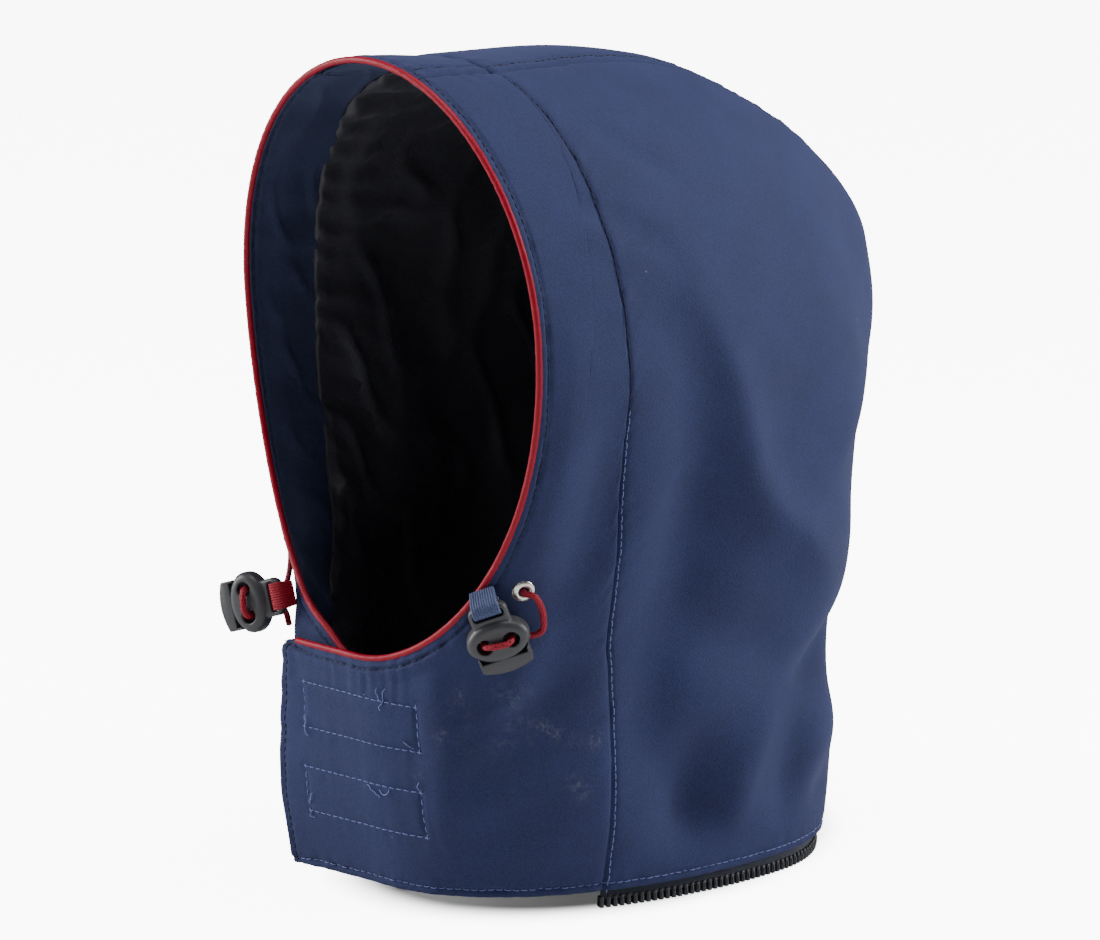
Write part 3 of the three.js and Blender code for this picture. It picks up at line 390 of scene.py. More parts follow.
class Panel:
    """A grid of cloth points with outward normals and, for each border, the distance from it."""

    def __init__(self, points):
        self.points = points
        normal = unit(np.cross(np.gradient(points, axis=1), np.gradient(points, axis=0)))
        if np.sum(normal * (points - HOOD_MIDDLE)) < 0:
            normal = -normal
        weak = np.linalg.norm(np.cross(np.gradient(points, axis=1), np.gradient(points, axis=0)), axis=-1) < 1e-3
        for row in range(1, len(points)):
            normal[row] = np.where(weak[row][:, None], normal[row - 1], normal[row])
        self.normals = normal
        over = np.linalg.norm(np.diff(points, axis=1), axis=-1)
        up = np.linalg.norm(np.diff(points, axis=0), axis=-1)
        self.over = np.concatenate([np.zeros((len(points), 1)), np.cumsum(over, 1)], 1)
        self.up = np.concatenate([np.zeros((1, points.shape[1])), np.cumsum(up, 0)], 0)
        self.relief = np.zeros(points.shape[:2])
        self.fine = np.zeros(points.shape[:2])
        self.rounding = 0

    def distance(self, border):
        """How far each point is from a border, along its row or column."""
        if border == "first":
            return self.over
        if border == "last":
            return self.over[:, -1:] - self.over
        if border == "bottom":
            return self.up
        return self.up[-1:] - self.up

    def border(self, border):
        """The border's own points, shaped to stand against the whole grid."""
        if border == "first":
            return self.points[:, :1]
        if border == "last":
            return self.points[:, -1:]
        if border == "bottom":
            return self.points[:1]
        return self.points[-1:]

    def seam(self, border, depth=1.5, width=1.0, pucker=0.34, reach=7.5, wavelength=6.5):
        """The cloth dips into a seam and puckers beside it."""
        away = self.distance(border)
        ripple = waves(self.border(border), wavelength, 11)
        self.fine -= (depth - 0.5) * np.exp(-(away / width) ** 2) + 0.5 * np.exp(-(away / (3 * width)) ** 2)
        self.fine += pucker * ripple * np.exp(-(away / reach) ** 2) * (1 - np.exp(-(away / width) ** 2))

    def stitch(self, border, offset, depth=1.0, width=0.85, pucker=0.26, reach=4.5):
        """A row of stitches pulls the cloth in along a line beside a border, deeper at some stitches."""
        away = self.distance(border) - offset
        scallop = waves(self.border(border), 3.8, 23)
        ripple = waves(self.border(border), 6.5, 29)
        self.fine -= depth * (1 + 0.55 * scallop) * np.exp(-(away / width) ** 2)
        self.fine += pucker * (ripple + 0.6 * scallop) * np.exp(-(away / reach) ** 2)

    def fold_over(self, border, radius=0.85):
        """A free edge is folded, so its outer corner is round."""
        share = np.clip(1 - self.distance(border) / radius, 0, 1)
        self.fine -= radius * (1 - np.sqrt(1 - share ** 2))
        self.rounding = self.rounding + radius * (1 - np.sqrt(1 - share ** 2))

    def tuck(self, border, depth=0.7, width=1.6):
        """The cloth turns in beside the piping."""
        self.fine -= depth * np.exp(-(self.distance(border) / width) ** 2)

    def drape(self):
        """The standing folds and the slight unevenness of the cloth, held still at the hem and the face edge."""
        for row in FOLDS:
            fold = dict(zip(FOLD_COLUMNS, row))
            at, around = np.array(fold["line"], float).T
            share = np.linspace(0, len(at) - 1, 60)
            knots = np.arange(len(at))
            turn = fold["side"] * np.radians(curve_through(knots, around)(share))
            line = tube(curve_through(knots, at)(share), turn)
            taper = np.sin(np.pi * np.linspace(0.07, 0.93, len(share))) ** 0.7
            gap = np.linalg.norm(self.points[:, :, None] - line, axis=-1)
            distance = np.hypot(gap, fold["softness"]) - fold["softness"]
            self.relief += fold["height"] * (taper * np.exp(-(distance / fold["width"]) ** 1.5)).max(-1)
        self.relief += 0.7 * waves(self.points, 90, 5) + 0.12 * waves(self.points, 24, 6)
        edge = tube(1.0, np.linspace(0, 2 * np.pi, 160))
        to_edge = np.linalg.norm(self.points[:, :, None] - edge, axis=-1).min(-1)
        self.relief *= smooth(to_edge, 2, 16) * smooth(self.points[..., 2], 10, 36)

    def outer(self):
        """The finished outer face."""
        return self.points + self.normals * (self.relief + self.fine)[..., None]

    def faces(self, thickness, seen_inside):
        """The face that shows, in full detail, and the plainer one behind it."""
        if seen_inside:
            return self.points + self.normals * (self.relief + self.fine - thickness)[..., None], (
                self.points + self.normals * self.relief[..., None])
        depth = np.minimum(self.relief - thickness + self.rounding, self.relief + self.fine - 0.2)
        return self.outer(), self.points + self.normals * depth[..., None]

    def line(self, border, offset, lift=0.0):
        """Points and normals on the outer face at one distance from a border."""
        away = self.distance(border)
        face = self.outer()
        rows = border in ("first", "last")
        tracks = range(away.shape[0] if rows else away.shape[1])
        points, normals = [], []
        for k in tracks:
            reach = away[k] if rows else away[:, k]
            track = face[k] if rows else face[:, k]
            normal = self.normals[k] if rows else self.normals[:, k]
            if reach.max() < offset + 1:
                continue
            order = slice(None) if reach[0] < reach[-1] else slice(None, None, -1)
            place = [np.interp(offset, reach[order], track[order, axis]) for axis in range(3)]
            upward = unit(np.array([np.interp(offset, reach[order], normal[order, axis]) for axis in range(3)]))
            points.append(np.array(place) + upward * lift)
            normals.append(upward)
        return np.array(points), np.array(normals)


# Meshes

def link(name, mesh, material=None):
    """A new object at the origin for a finished mesh."""
    made = bpy.data.objects.new(name, mesh)
    bpy.context.scene.collection.objects.link(made)
    if material is not None:
        mesh.materials.clear()
        mesh.materials.append(material)
    return made


def close_mesh(mesh):
    """Outward normals on a closed mesh."""
    work = bmesh.new()
    work.from_mesh(mesh)
    bmesh.ops.recalc_face_normals(work, faces=work.faces)
    work.to_mesh(mesh)
    work.free()
    mesh.shade_smooth()


def make_object(name, points, faces, material, uv=None, marks=None):
    """A closed object from points in millimetres, with its UV map and named point values."""
    mesh = bpy.data.meshes.new(name)
    mesh.from_pydata(metres(points).tolist(), [], faces)
    if uv is not None:
        layer = mesh.uv_layers.new(name="UVMap")
        corner = np.empty(len(mesh.loops), int)
        mesh.loops.foreach_get("vertex_index", corner)
        layer.data.foreach_set("uv", np.asarray(uv, float)[corner].ravel())
    for mark, values in (marks or {}).items():
        mesh.attributes.new(mark, "FLOAT", "POINT").data.foreach_set("value", np.asarray(values, float).ravel())
    close_mesh(mesh)
    return link(name, mesh, material)


def grid_quads(rows, columns, start=0):
    """Faces of a grid of points."""
    index = np.arange(rows * columns).reshape(rows, columns) + start
    quads = np.stack([index[:-1, :-1], index[:-1, 1:], index[1:, 1:], index[1:, :-1]], -1)
    return quads.reshape(-1, 4).tolist()


def rim_of(rows, columns):
    """The border of a grid as (row, column) pairs in order round it."""
    ring = [(0, c) for c in range(columns - 1)]
    ring += [(r, columns - 1) for r in range(rows - 1)]
    ring += [(rows - 1, c) for c in range(columns - 1, 0, -1)]
    ring += [(r, 0) for r in range(rows - 1, 0, -1)]
    return ring


def cloth_object(name, panel, thickness, material, marks=None, seen_inside=False):
    """A closed sheet of cloth: a fine face where it shows, a coarser one behind it and the rim between them."""
    shown, hidden = panel.faces(thickness, seen_inside)
    hidden = hidden[::COARSEN, ::COARSEN]
    rows, columns = shown.shape[:2]
    low_rows, low_columns = hidden.shape[:2]
    start = rows * columns
    faces = grid_quads(rows, columns) + [face[::-1] for face in grid_quads(low_rows, low_columns, start)]
    fine = [r * columns + c for r, c in rim_of(rows, columns)]
    coarse = [start + r * low_columns + c for r, c in rim_of(low_rows, low_columns)]
    half = COARSEN // 2
    for k, here in enumerate(coarse):
        after = coarse[(k + 1) % len(coarse)]
        edge = [fine[(k * COARSEN + step) % len(fine)] for step in range(COARSEN + 1)]
        for step in range(COARSEN):
            faces.append((edge[step + 1], edge[step], here if step < half else after))
        faces.append((edge[half], here, after))
    points = np.concatenate([shown.reshape(-1, 3), hidden.reshape(-1, 3)])
    flat = np.stack([panel.over, panel.up], -1) * MM
    uv = np.concatenate([flat.reshape(-1, 2), flat[::COARSEN, ::COARSEN].reshape(-1, 2)])
    spread = {}
    for mark, values in (marks or {}).items():
        spread[mark] = np.concatenate([values.ravel(), values[::COARSEN, ::COARSEN].ravel()])
    return make_object(name, points, faces, material, uv, spread)


def sweep_object(name, rings, material, lengths=None):
    """A closed tube through rings of points, each with as many points."""
    rings = np.asarray(rings, float)
    count, sides = rings.shape[:2]
    index = np.arange(count * sides).reshape(count, sides)
    beside = np.roll(index, -1, 1)
    faces = np.stack([index[:-1], beside[:-1], beside[1:], index[1:]], -1).reshape(-1, 4).tolist()
    faces.append(index[0, ::-1].tolist())
    faces.append(index[-1].tolist())
    if lengths is None:
        step = np.linalg.norm(np.diff(rings.mean(1), axis=0), axis=1)
        lengths = np.concatenate([[0], np.cumsum(step)])
    share = np.abs(np.linspace(-1, 1, sides, endpoint=False))
    uv = np.stack(np.broadcast_arrays(share[None], (lengths * MM)[:, None]), -1).reshape(-1, 2)
    return make_object(name, rings.reshape(-1, 3), faces, material, uv)


def tangents_of(points):
    """Unit directions along a line of points."""
    return unit(np.gradient(points, axis=0))


def frames_along(points, ups):
    """Side and up directions square to a line of points."""
    along = tangents_of(points)
    ups = unit(ups - along * np.sum(ups * along, -1, keepdims=True))
    return unit(np.cross(along, ups)), ups


def resampled(points, step):
    """The same line with points a set length apart."""
    run = np.concatenate([[0], np.cumsum(np.linalg.norm(np.diff(points, axis=0), axis=1))])
    places = np.linspace(0, run[-1], max(2, round(run[-1] / step)) + 1)
    return np.stack([np.interp(places, run, points[:, axis]) for axis in range(3)], -1)


def finished(source, name, material=None):
    """The evaluated shape of an object as a plain mesh, in place of the object."""
    depsgraph = bpy.context.evaluated_depsgraph_get()
    mesh = bpy.data.meshes.new_from_object(source.evaluated_get(depsgraph))
    bpy.data.objects.remove(source)
    mesh.name = name
    made = link(name, mesh, material)
    return made


def settle(piece, nodes, slot, body=HOOD_BODY):
    """Ties a finished piece to its body and hides the solids it stands for; the slot is not used."""
    if nodes:
        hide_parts(*nodes)
    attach(piece, body)


# Materials

def node(tree, kind, inputs=None, **settings):
    """A new node with its settings and input values."""
    made = tree.nodes.new(kind)
    for name, value in settings.items():
        setattr(made, name, value)
    for name, value in (inputs or {}).items():
        made.inputs[name].default_value = value
    return made


def join(tree, source, target):
    """A link from an output socket to an input socket."""
    tree.links.new(source, target)


def group_tree(name, inputs, outputs):
    """An empty shader node group with these sockets."""
    tree = bpy.data.node_groups.new(name, "ShaderNodeTree")
    for socket, (kind, default) in inputs.items():
        made = tree.interface.new_socket(socket, in_out="INPUT", socket_type=kind)
        if default is not None:
            made.default_value = default
    for socket, kind in outputs.items():
        tree.interface.new_socket(socket, in_out="OUTPUT", socket_type=kind)
    return tree, tree.nodes.new("NodeGroupInput"), tree.nodes.new("NodeGroupOutput")


def cloth_grain_group():
    """Fine speckle and slub of knitted or woven cloth, as a tint from 0 to 1 and a height."""
    name = "Cloth grain"
    if name in bpy.data.node_groups:
        return bpy.data.node_groups[name]
    tree, inside, outside = group_tree(
        name,
        {"Vector": ("NodeSocketVector", None), "Grain size": ("NodeSocketFloat", 0.0007)},
        {"Tint": "NodeSocketFloat", "Height": "NodeSocketFloat"},
    )
    scale = node(tree, "ShaderNodeMath", {0: 1.0}, operation="DIVIDE")
    join(tree, inside.outputs["Grain size"], scale.inputs[1])
    speckle = node(tree, "ShaderNodeTexNoise", {"Detail": 3.0, "Roughness": 0.75})
    slub = node(tree, "ShaderNodeTexNoise", {"Scale": 38.0, "Detail": 3.0, "Roughness": 0.6})
    cell = node(tree, "ShaderNodeTexVoronoi", feature="SMOOTH_F1")
    for texture in (speckle, slub, cell):
        join(tree, inside.outputs["Vector"], texture.inputs["Vector"])
    join(tree, scale.outputs[0], speckle.inputs["Scale"])
    join(tree, scale.outputs[0], cell.inputs["Scale"])
    spread = node(tree, "ShaderNodeMapRange", {"From Min": 0.32, "From Max": 0.68})
    join(tree, speckle.outputs["Fac"], spread.inputs["Value"])
    mixed = node(tree, "ShaderNodeMath", {1: 0.62}, operation="MULTIPLY")
    join(tree, spread.outputs["Result"], mixed.inputs[0])
    both = node(tree, "ShaderNodeMath", {1: 0.38}, operation="MULTIPLY_ADD")
    join(tree, slub.outputs["Fac"], both.inputs[0])
    join(tree, mixed.outputs[0], both.inputs[2])
    join(tree, both.outputs[0], outside.inputs["Tint"])
    height = node(tree, "ShaderNodeMath", operation="SUBTRACT")
    join(tree, speckle.outputs["Fac"], height.inputs[0])
    join(tree, cell.outputs["Distance"], height.inputs[1])
    join(tree, height.outputs[0], outside.inputs["Height"])
    return tree


def dust_group():
    """Chalky scuffs where a point value asks for them, and a few specks of lint."""
    name = "Scuffs and lint"
    if name in bpy.data.node_groups:
        return bpy.data.node_groups[name]
    tree, inside, outside = group_tree(
        name,
        {"Vector": ("NodeSocketVector", None), "Scuff": ("NodeSocketFloat", 0.0)},
        {"Mask": "NodeSocketFloat"},
    )
    chalk = node(tree, "ShaderNodeTexNoise", {"Scale": 420.0, "Detail": 5.0, "Roughness": 0.8})
    patchy = node(tree, "ShaderNodeTexNoise", {"Scale": 95.0, "Detail": 2.0})
    specks = node(tree, "ShaderNodeTexVoronoi", {"Scale": 42.0, "Randomness": 1.0})
    for texture in (chalk, patchy, specks):
        join(tree, inside.outputs["Vector"], texture.inputs["Vector"])
    grains = node(tree, "ShaderNodeMapRange", {"From Min": 0.46, "From Max": 0.72})
    join(tree, chalk.outputs["Fac"], grains.inputs["Value"])
    patches = node(tree, "ShaderNodeMapRange", {"From Min": 0.4, "From Max": 0.66})
    join(tree, patchy.outputs["Fac"], patches.inputs["Value"])
    broken = node(tree, "ShaderNodeMath", operation="MULTIPLY")
    join(tree, grains.outputs["Result"], broken.inputs[0])
    join(tree, patches.outputs["Result"], broken.inputs[1])
    marked = node(tree, "ShaderNodeMath", operation="MULTIPLY")
    join(tree, broken.outputs[0], marked.inputs[0])
    join(tree, inside.outputs["Scuff"], marked.inputs[1])
    lint = node(tree, "ShaderNodeMapRange", {"From Min": 0.011, "From Max": 0.018, "To Min": 0.55, "To Max": 0.0})
    join(tree, specks.outputs["Distance"], lint.inputs["Value"])
    total = node(tree, "ShaderNodeMath", operation="ADD", use_clamp=True)
    join(tree, marked.outputs[0], total.inputs[0])
    join(tree, lint.outputs["Result"], total.inputs[1])
    join(tree, total.outputs[0], outside.inputs["Mask"])
    return tree


def thread_group():
    """Crossing diagonal yarns, read from a UV map, as a height from 0 to 1."""
    name = "Twisted yarns"
    if name in bpy.data.node_groups:
        return bpy.data.node_groups[name]
    tree, inside, outside = group_tree(
        name,
        {"Around": ("NodeSocketFloat", 6.0), "Along": ("NodeSocketFloat", 700.0), "Vector": ("NodeSocketVector", None)},
        {"Height": "NodeSocketFloat"},
    )
    parts = node(tree, "ShaderNodeSeparateXYZ")
    join(tree, inside.outputs["Vector"], parts.inputs[0])
    turn = node(tree, "ShaderNodeMath", operation="MULTIPLY")
    join(tree, parts.outputs["X"], turn.inputs[0])
    join(tree, inside.outputs["Around"], turn.inputs[1])
    run = node(tree, "ShaderNodeMath", operation="MULTIPLY")
    join(tree, parts.outputs["Y"], run.inputs[0])
    join(tree, inside.outputs["Along"], run.inputs[1])
    heights = []
    for operation in ("ADD", "SUBTRACT"):
        slanted = node(tree, "ShaderNodeMath", operation=operation)
        join(tree, turn.outputs[0], slanted.inputs[0])
        join(tree, run.outputs[0], slanted.inputs[1])
        whole = node(tree, "ShaderNodeMath", {1: 2 * math.pi}, operation="MULTIPLY")
        join(tree, slanted.outputs[0], whole.inputs[0])
        wave = node(tree, "ShaderNodeMath", operation="SINE")
        join(tree, whole.outputs[0], wave.inputs[0])
        heights.append(wave)
    crossing = node(tree, "ShaderNodeMath", operation="MAXIMUM")
    join(tree, heights[0].outputs[0], crossing.inputs[0])
    join(tree, heights[1].outputs[0], crossing.inputs[1])
    level = node(tree, "ShaderNodeMapRange", {"From Min": -1.0, "From Max": 1.0})
    join(tree, crossing.outputs[0], level.inputs["Value"])
    join(tree, level.outputs["Result"], outside.inputs["Height"])
    return tree


def bare_material(name, roughness=0.6, metallic=0.0, specular=0.5, sheen=0.0, sheen_tint=(1, 1, 1, 1), coat=0.0):
    """A material with a Principled shader whose constants are set on its own sockets."""
    made = bpy.data.materials.new(name)
    made.use_nodes = True
    shader = made.node_tree.nodes["Principled BSDF"]
    values = {
        "Roughness": roughness, "Metallic": metallic, "Specular IOR Level": specular,
        "Sheen Weight": sheen, "Sheen Roughness": 0.45, "Sheen Tint": sheen_tint, "Coat Weight": coat,
    }
    for socket, value in values.items():
        shader.inputs[socket].default_value = value
    return made, made.node_tree, shader


def group_node(tree, group, inputs=None):
    """A group placed in a material."""
    made = tree.nodes.new("ShaderNodeGroup")
    made.node_tree = group
    for name, value in (inputs or {}).items():
        made.inputs[name].default_value = value
    return made


def colour_ramp(tree, source, dark, light, low=0.0, high=1.0):
    """A colour between two, driven by a value."""
    spread = node(tree, "ShaderNodeMapRange", {"From Min": low, "From Max": high})
    join(tree, source, spread.inputs["Value"])
    mix = node(tree, "ShaderNodeMix", data_type="RGBA")
    join(tree, spread.outputs["Result"], mix.inputs["Factor"])
    mix.inputs["A"].default_value = (*dark, 1)
    mix.inputs["B"].default_value = (*light, 1)
    return mix.outputs["Result"]


def mix_in(tree, base, colour, factor):
    """One more colour laid over a colour by a mask."""
    mix = node(tree, "ShaderNodeMix", data_type="RGBA")
    join(tree, factor, mix.inputs["Factor"])
    join(tree, base, mix.inputs["A"])
    mix.inputs["B"].default_value = (*colour, 1)
    return mix.outputs["Result"]


def bump_from(tree, shader, height, distance, strength=1.0):
    """Relief from a height."""
    bump = node(tree, "ShaderNodeBump", {"Strength": strength, "Distance": distance})
    join(tree, height, bump.inputs["Height"])
    join(tree, bump.outputs["Normal"], shader.inputs["Normal"])


def object_place(tree):
    """The piece's own Object coordinates."""
    return node(tree, "ShaderNodeTexCoord").outputs["Object"]


def scaled(colour, share):
    """A colour made lighter or darker."""
    return tuple(min(1.0, channel * share) for channel in colour)


def cloth_material(name, colour, contrast=0.3, grain=0.0007, sheen=0.35, roughness=0.85, dusty=False, bump=0.00012):
    """Matte cloth with a fine grain and, where asked, scuffs and lint."""
    light = tuple(min(1.0, channel + 0.12) for channel in scaled(colour, 4))
    made, tree, shader = bare_material(name, roughness, sheen=sheen, sheen_tint=(*light, 1), specular=0.3)
    place = object_place(tree)
    weave = group_node(tree, cloth_grain_group(), {"Grain size": grain})
    join(tree, place, weave.inputs["Vector"])
    result = colour_ramp(tree, weave.outputs["Tint"], scaled(colour, 1 - contrast), scaled(colour, 1 + contrast))
    if dusty:
        dust = group_node(tree, dust_group())
        scuff = node(tree, "ShaderNodeAttribute", attribute_name="scuff")
        join(tree, place, dust.inputs["Vector"])
        join(tree, scuff.outputs["Fac"], dust.inputs["Scuff"])
        chalk = tuple(0.45 * channel + 0.2 for channel in colour)
        result = mix_in(tree, result, chalk, dust.outputs["Mask"])
    join(tree, result, shader.inputs["Base Color"])
    rough = node(tree, "ShaderNodeMapRange", {"To Min": roughness - 0.1, "To Max": min(1, roughness + 0.06)})
    join(tree, weave.outputs["Tint"], rough.inputs["Value"])
    join(tree, rough.outputs["Result"], shader.inputs["Roughness"])
    bump_from(tree, shader, weave.outputs["Height"], bump, 0.7)
    return made


def satin_material(name, colour):
    """Shiny woven satin of the piping, with fine diagonal twill lines."""
    light = tuple(min(1.0, channel * 1.3 + 0.02) for channel in colour)
    made, tree, shader = bare_material(name, 0.42, sheen=0.03, sheen_tint=(*light, 1), specular=0.22)
    place = node(tree, "ShaderNodeUVMap", uv_map="UVMap").outputs["UV"]
    yarns = group_node(tree, thread_group(), {"Around": 7.0, "Along": 900.0})
    join(tree, place, yarns.inputs["Vector"])
    weave = group_node(tree, cloth_grain_group(), {"Grain size": 0.0011})
    join(tree, object_place(tree), weave.inputs["Vector"])
    result = colour_ramp(tree, weave.outputs["Tint"], scaled(colour, 0.72), scaled(colour, 1.25))
    join(tree, result, shader.inputs["Base Color"])
    rough = node(tree, "ShaderNodeMapRange", {"To Min": 0.34, "To Max": 0.55})
    join(tree, weave.outputs["Tint"], rough.inputs["Value"])
    join(tree, rough.outputs["Result"], shader.inputs["Roughness"])
    bump_from(tree, shader, yarns.outputs["Height"], 0.00005, 0.6)
    return made


def braid_material(name, colour, around, along, depth=0.00022):
    """Braided or ribbed yarn read along the piece's own UV map."""
    light = tuple(min(1.0, channel * 1.4 + 0.06) for channel in colour)
    made, tree, shader = bare_material(name, 0.6, sheen=0.1, sheen_tint=(*light, 1), specular=0.35)
    place = node(tree, "ShaderNodeUVMap", uv_map="UVMap").outputs["UV"]
    yarns = group_node(tree, thread_group(), {"Around": around, "Along": along})
    join(tree, place, yarns.inputs["Vector"])
    # Base colour darker in the hollows between yarns and lighter on their crowns: painted shade and painted highlight
    # that follow the bump
    result = colour_ramp(tree, yarns.outputs["Height"], scaled(colour, 0.45), scaled(colour, 1.25), 0.15, 0.95)
    join(tree, result, shader.inputs["Base Color"])
    rough = node(tree, "ShaderNodeMapRange", {"To Min": 0.7, "To Max": 0.5})
    join(tree, yarns.outputs["Height"], rough.inputs["Value"])
    join(tree, rough.outputs["Result"], shader.inputs["Roughness"])
    bump_from(tree, shader, yarns.outputs["Height"], depth)
    return made


def hard_material(name, colour, roughness, metallic=0.0, specular=0.5, grain=0.0006, bump=0.00002):
    """Moulded plastic or plated metal with a faint uneven gloss."""
    made, tree, shader = bare_material(name, roughness, metallic, specular)
    place = object_place(tree)
    mottle = group_node(tree, cloth_grain_group(), {"Grain size": grain})
    join(tree, place, mottle.inputs["Vector"])
    result = colour_ramp(tree, mottle.outputs["Tint"], scaled(colour, 0.88), scaled(colour, 1.12))
    join(tree, result, shader.inputs["Base Color"])
    rough = node(tree, "ShaderNodeMapRange", {"To Min": roughness * 0.82, "To Max": roughness * 1.2})
    join(tree, mottle.outputs["Tint"], rough.inputs["Value"])
    join(tree, rough.outputs["Result"], shader.inputs["Roughness"])
    bump_from(tree, shader, mottle.outputs["Height"], bump, 0.5)
    return made


def herringbone_material(name, colour):
    """Zip tape: ribs that change their slant from stripe to stripe along the tape."""
    made, tree, shader = bare_material(name, 0.8, sheen=0.25, specular=0.3)
    place = node(tree, "ShaderNodeUVMap", uv_map="UVMap").outputs["UV"]
    parts = node(tree, "ShaderNodeSeparateXYZ")
    join(tree, place, parts.inputs[0])
    stripe = node(tree, "ShaderNodeMath", {1: 9.0}, operation="PINGPONG")
    lengthened = node(tree, "ShaderNodeMath", {1: 36.0}, operation="MULTIPLY")
    join(tree, parts.outputs["X"], lengthened.inputs[0])
    join(tree, lengthened.outputs[0], stripe.inputs[0])
    stripe.inputs[1].default_value = 2.2
    run = node(tree, "ShaderNodeMath", {1: 1300.0}, operation="MULTIPLY")
    join(tree, parts.outputs["Y"], run.inputs[0])
    slanted = node(tree, "ShaderNodeMath", operation="ADD")
    join(tree, stripe.outputs[0], slanted.inputs[0])
    join(tree, run.outputs[0], slanted.inputs[1])
    whole = node(tree, "ShaderNodeMath", {1: 2 * math.pi}, operation="MULTIPLY")
    join(tree, slanted.outputs[0], whole.inputs[0])
    wave = node(tree, "ShaderNodeMath", operation="SINE")
    join(tree, whole.outputs[0], wave.inputs[0])
    level = node(tree, "ShaderNodeMapRange", {"From Min": -1.0, "From Max": 1.0})
    join(tree, wave.outputs[0], level.inputs["Value"])
    # Base colour darker in the hollows between ribs and lighter on their crowns: painted shade and painted highlight
    # that follow the bump
    result = colour_ramp(tree, level.outputs["Result"], scaled(colour, 0.55), scaled(colour, 1.5))
    join(tree, result, shader.inputs["Base Color"])
    bump_from(tree, shader, level.outputs["Result"], 0.00012)
    return made


class Finishes:
    """The hood's materials, each made once from the chosen colours."""

    made = {}

    @classmethod
    def get(cls, name):
        """The material of one finish."""
        if name in cls.made:
            return cls.made[name]
        colours = bpy.context.scene.hood_colours
        makers = {
            "shell": lambda: cloth_material("Navy softshell", colours.shell, 0.62, 0.0006, 0.12, 0.86, dusty=True),
            "facing": lambda: cloth_material("Navy facing", colours.facing, 0.5, 0.0006, 0.2, 0.88),
            "lining": lambda: cloth_material("Black lining", colours.lining, 0.35, 0.0009, 0.3, 0.42),
            "patch": lambda: cloth_material("Fastening tape", colours.patch, 0.6, 0.0014, 0.4, 0.9, bump=0.0004),
            "piping": lambda: satin_material("Red satin", colours.piping),
            "cord": lambda: braid_material("Red braid", colours.cord, 4.0, 380.0),
            "thread": lambda: braid_material("Pale thread", colours.thread, 2.0, 900.0, 0.0001),
            # The darker thread is painted shade on stitches that lie in shadow
            "shade_painted_thread": lambda: braid_material("Painted shade thread", colours.shade_painted_thread, 2.0, 900.0, 0.0001),
            "navy_strap": lambda: braid_material("Navy grosgrain", colours.strap, 14.0, 900.0, 0.00012),
            "red_strap": lambda: braid_material("Red grosgrain", colours.piping, 14.0, 900.0, 0.00012),
            "tape": lambda: herringbone_material("Zip tape", colours.tape),
            "teeth": lambda: hard_material("Moulded teeth", colours.teeth, 0.38),
            "lock": lambda: hard_material("Lock plastic", colours.lock, 0.45, specular=0.5, bump=0.00004),
            "nickel": lambda: hard_material("Nickel", colours.nickel, 0.26, metallic=1.0),
            "dark_metal": lambda: hard_material("Dark paint", colours.dark_metal, 0.34, metallic=0.6),
        }
        cls.made[name] = makers[name]()
        return cls.made[name]


# Property groups

def colour_property(name, description, default):
    """A colour that a user may change."""
    return FloatVectorProperty(
        name=name, description=description, subtype="COLOR", size=3, min=0, max=1, default=default)


def length_property(name, description, default, low=0.0, high=0.1):
    """A length in metres that a user may change."""
    return FloatProperty(name=name, description=description, subtype="DISTANCE", unit="LENGTH",
                         default=default, min=low, max=high, precision=5)


class HoodColours(bpy.types.PropertyGroup):
    """Colours of the hood's finishes."""

    shell: colour_property("Shell", "Softshell cloth", (0.0175, 0.0245, 0.081))
    facing: colour_property("Facing", "Band inside the face opening", (0.028, 0.037, 0.086))
    lining: colour_property("Lining", "Thin lining", (0.040, 0.040, 0.050))
    patch: colour_property("Fastening", "Hook and loop tape", (0.012, 0.014, 0.022))
    piping: colour_property("Piping", "Satin piping", (0.27, 0.0001, 0.014))
    cord: colour_property("Cord", "Braided drawcord", (0.27, 0.0002, 0.016))
    thread: colour_property("Pale thread", "Topstitching of patches, hem and band", (0.17, 0.205, 0.48))
    # Thread colour close to the shell's, for stitch rows that lie in shadow: painted shade on the stitches
    shade_painted_thread: colour_property("Painted shade thread", "Topstitching beside the piping", (0.018, 0.022, 0.055))
    strap: colour_property("Strap", "Strap of the lock on the wearer's left", (0.055, 0.075, 0.17))
    tape: colour_property("Zip tape", "Woven tape", (0.022, 0.026, 0.042))
    teeth: colour_property("Zip teeth", "Moulded teeth", (0.03, 0.032, 0.04))
    lock: colour_property("Cord lock", "Moulded plastic", (0.032, 0.033, 0.038))
    nickel: colour_property("Eyelet", "Plated ring", (0.66, 0.63, 0.57))
    dark_metal: colour_property("Slider", "Painted slider and pull", (0.05, 0.05, 0.056))


class HoodSizes(bpy.types.PropertyGroup):
    """Sizes of the hood's trims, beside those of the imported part."""

    stitch_pitch: length_property("Stitch pitch", "Length from one stitch to the next", 0.0033, 0.001, 0.01)
    stitch_length: length_property("Stitch length", "Thread that shows in one stitch", 0.0026, 0.0005, 0.01)
    thread_width: length_property("Thread", "Thickness of the topstitching thread", 0.00046, 0.0001, 0.002)
    edge_stitch: length_property("Edge stitching", "Distance of the topstitching from an edge", 0.0033, 0.001, 0.02)
    seam_stitch: length_property("Seam stitching", "Distance of the topstitching from a seam", 0.0015, 0.0005, 0.02)
    crown_stitch: length_property("Crown stitching", "Distance of the crown's second row", 0.0065, 0.001, 0.02)
    facing_width: length_property("Facing width", "Width of the band inside the opening", 0.038, 0.01, 0.08)
    floor_size: length_property("Floor", "Side of the floor", 24.0, 1.0, 100.0)


def millimetres(value):
    """A property's metres as millimetres."""
    return value / MM


# The cloth panels

BUILT = {}


# Share of a front panel's back edge that runs along the band seam, before it turns along the crown seam
CORNER_PLACE = 0.88


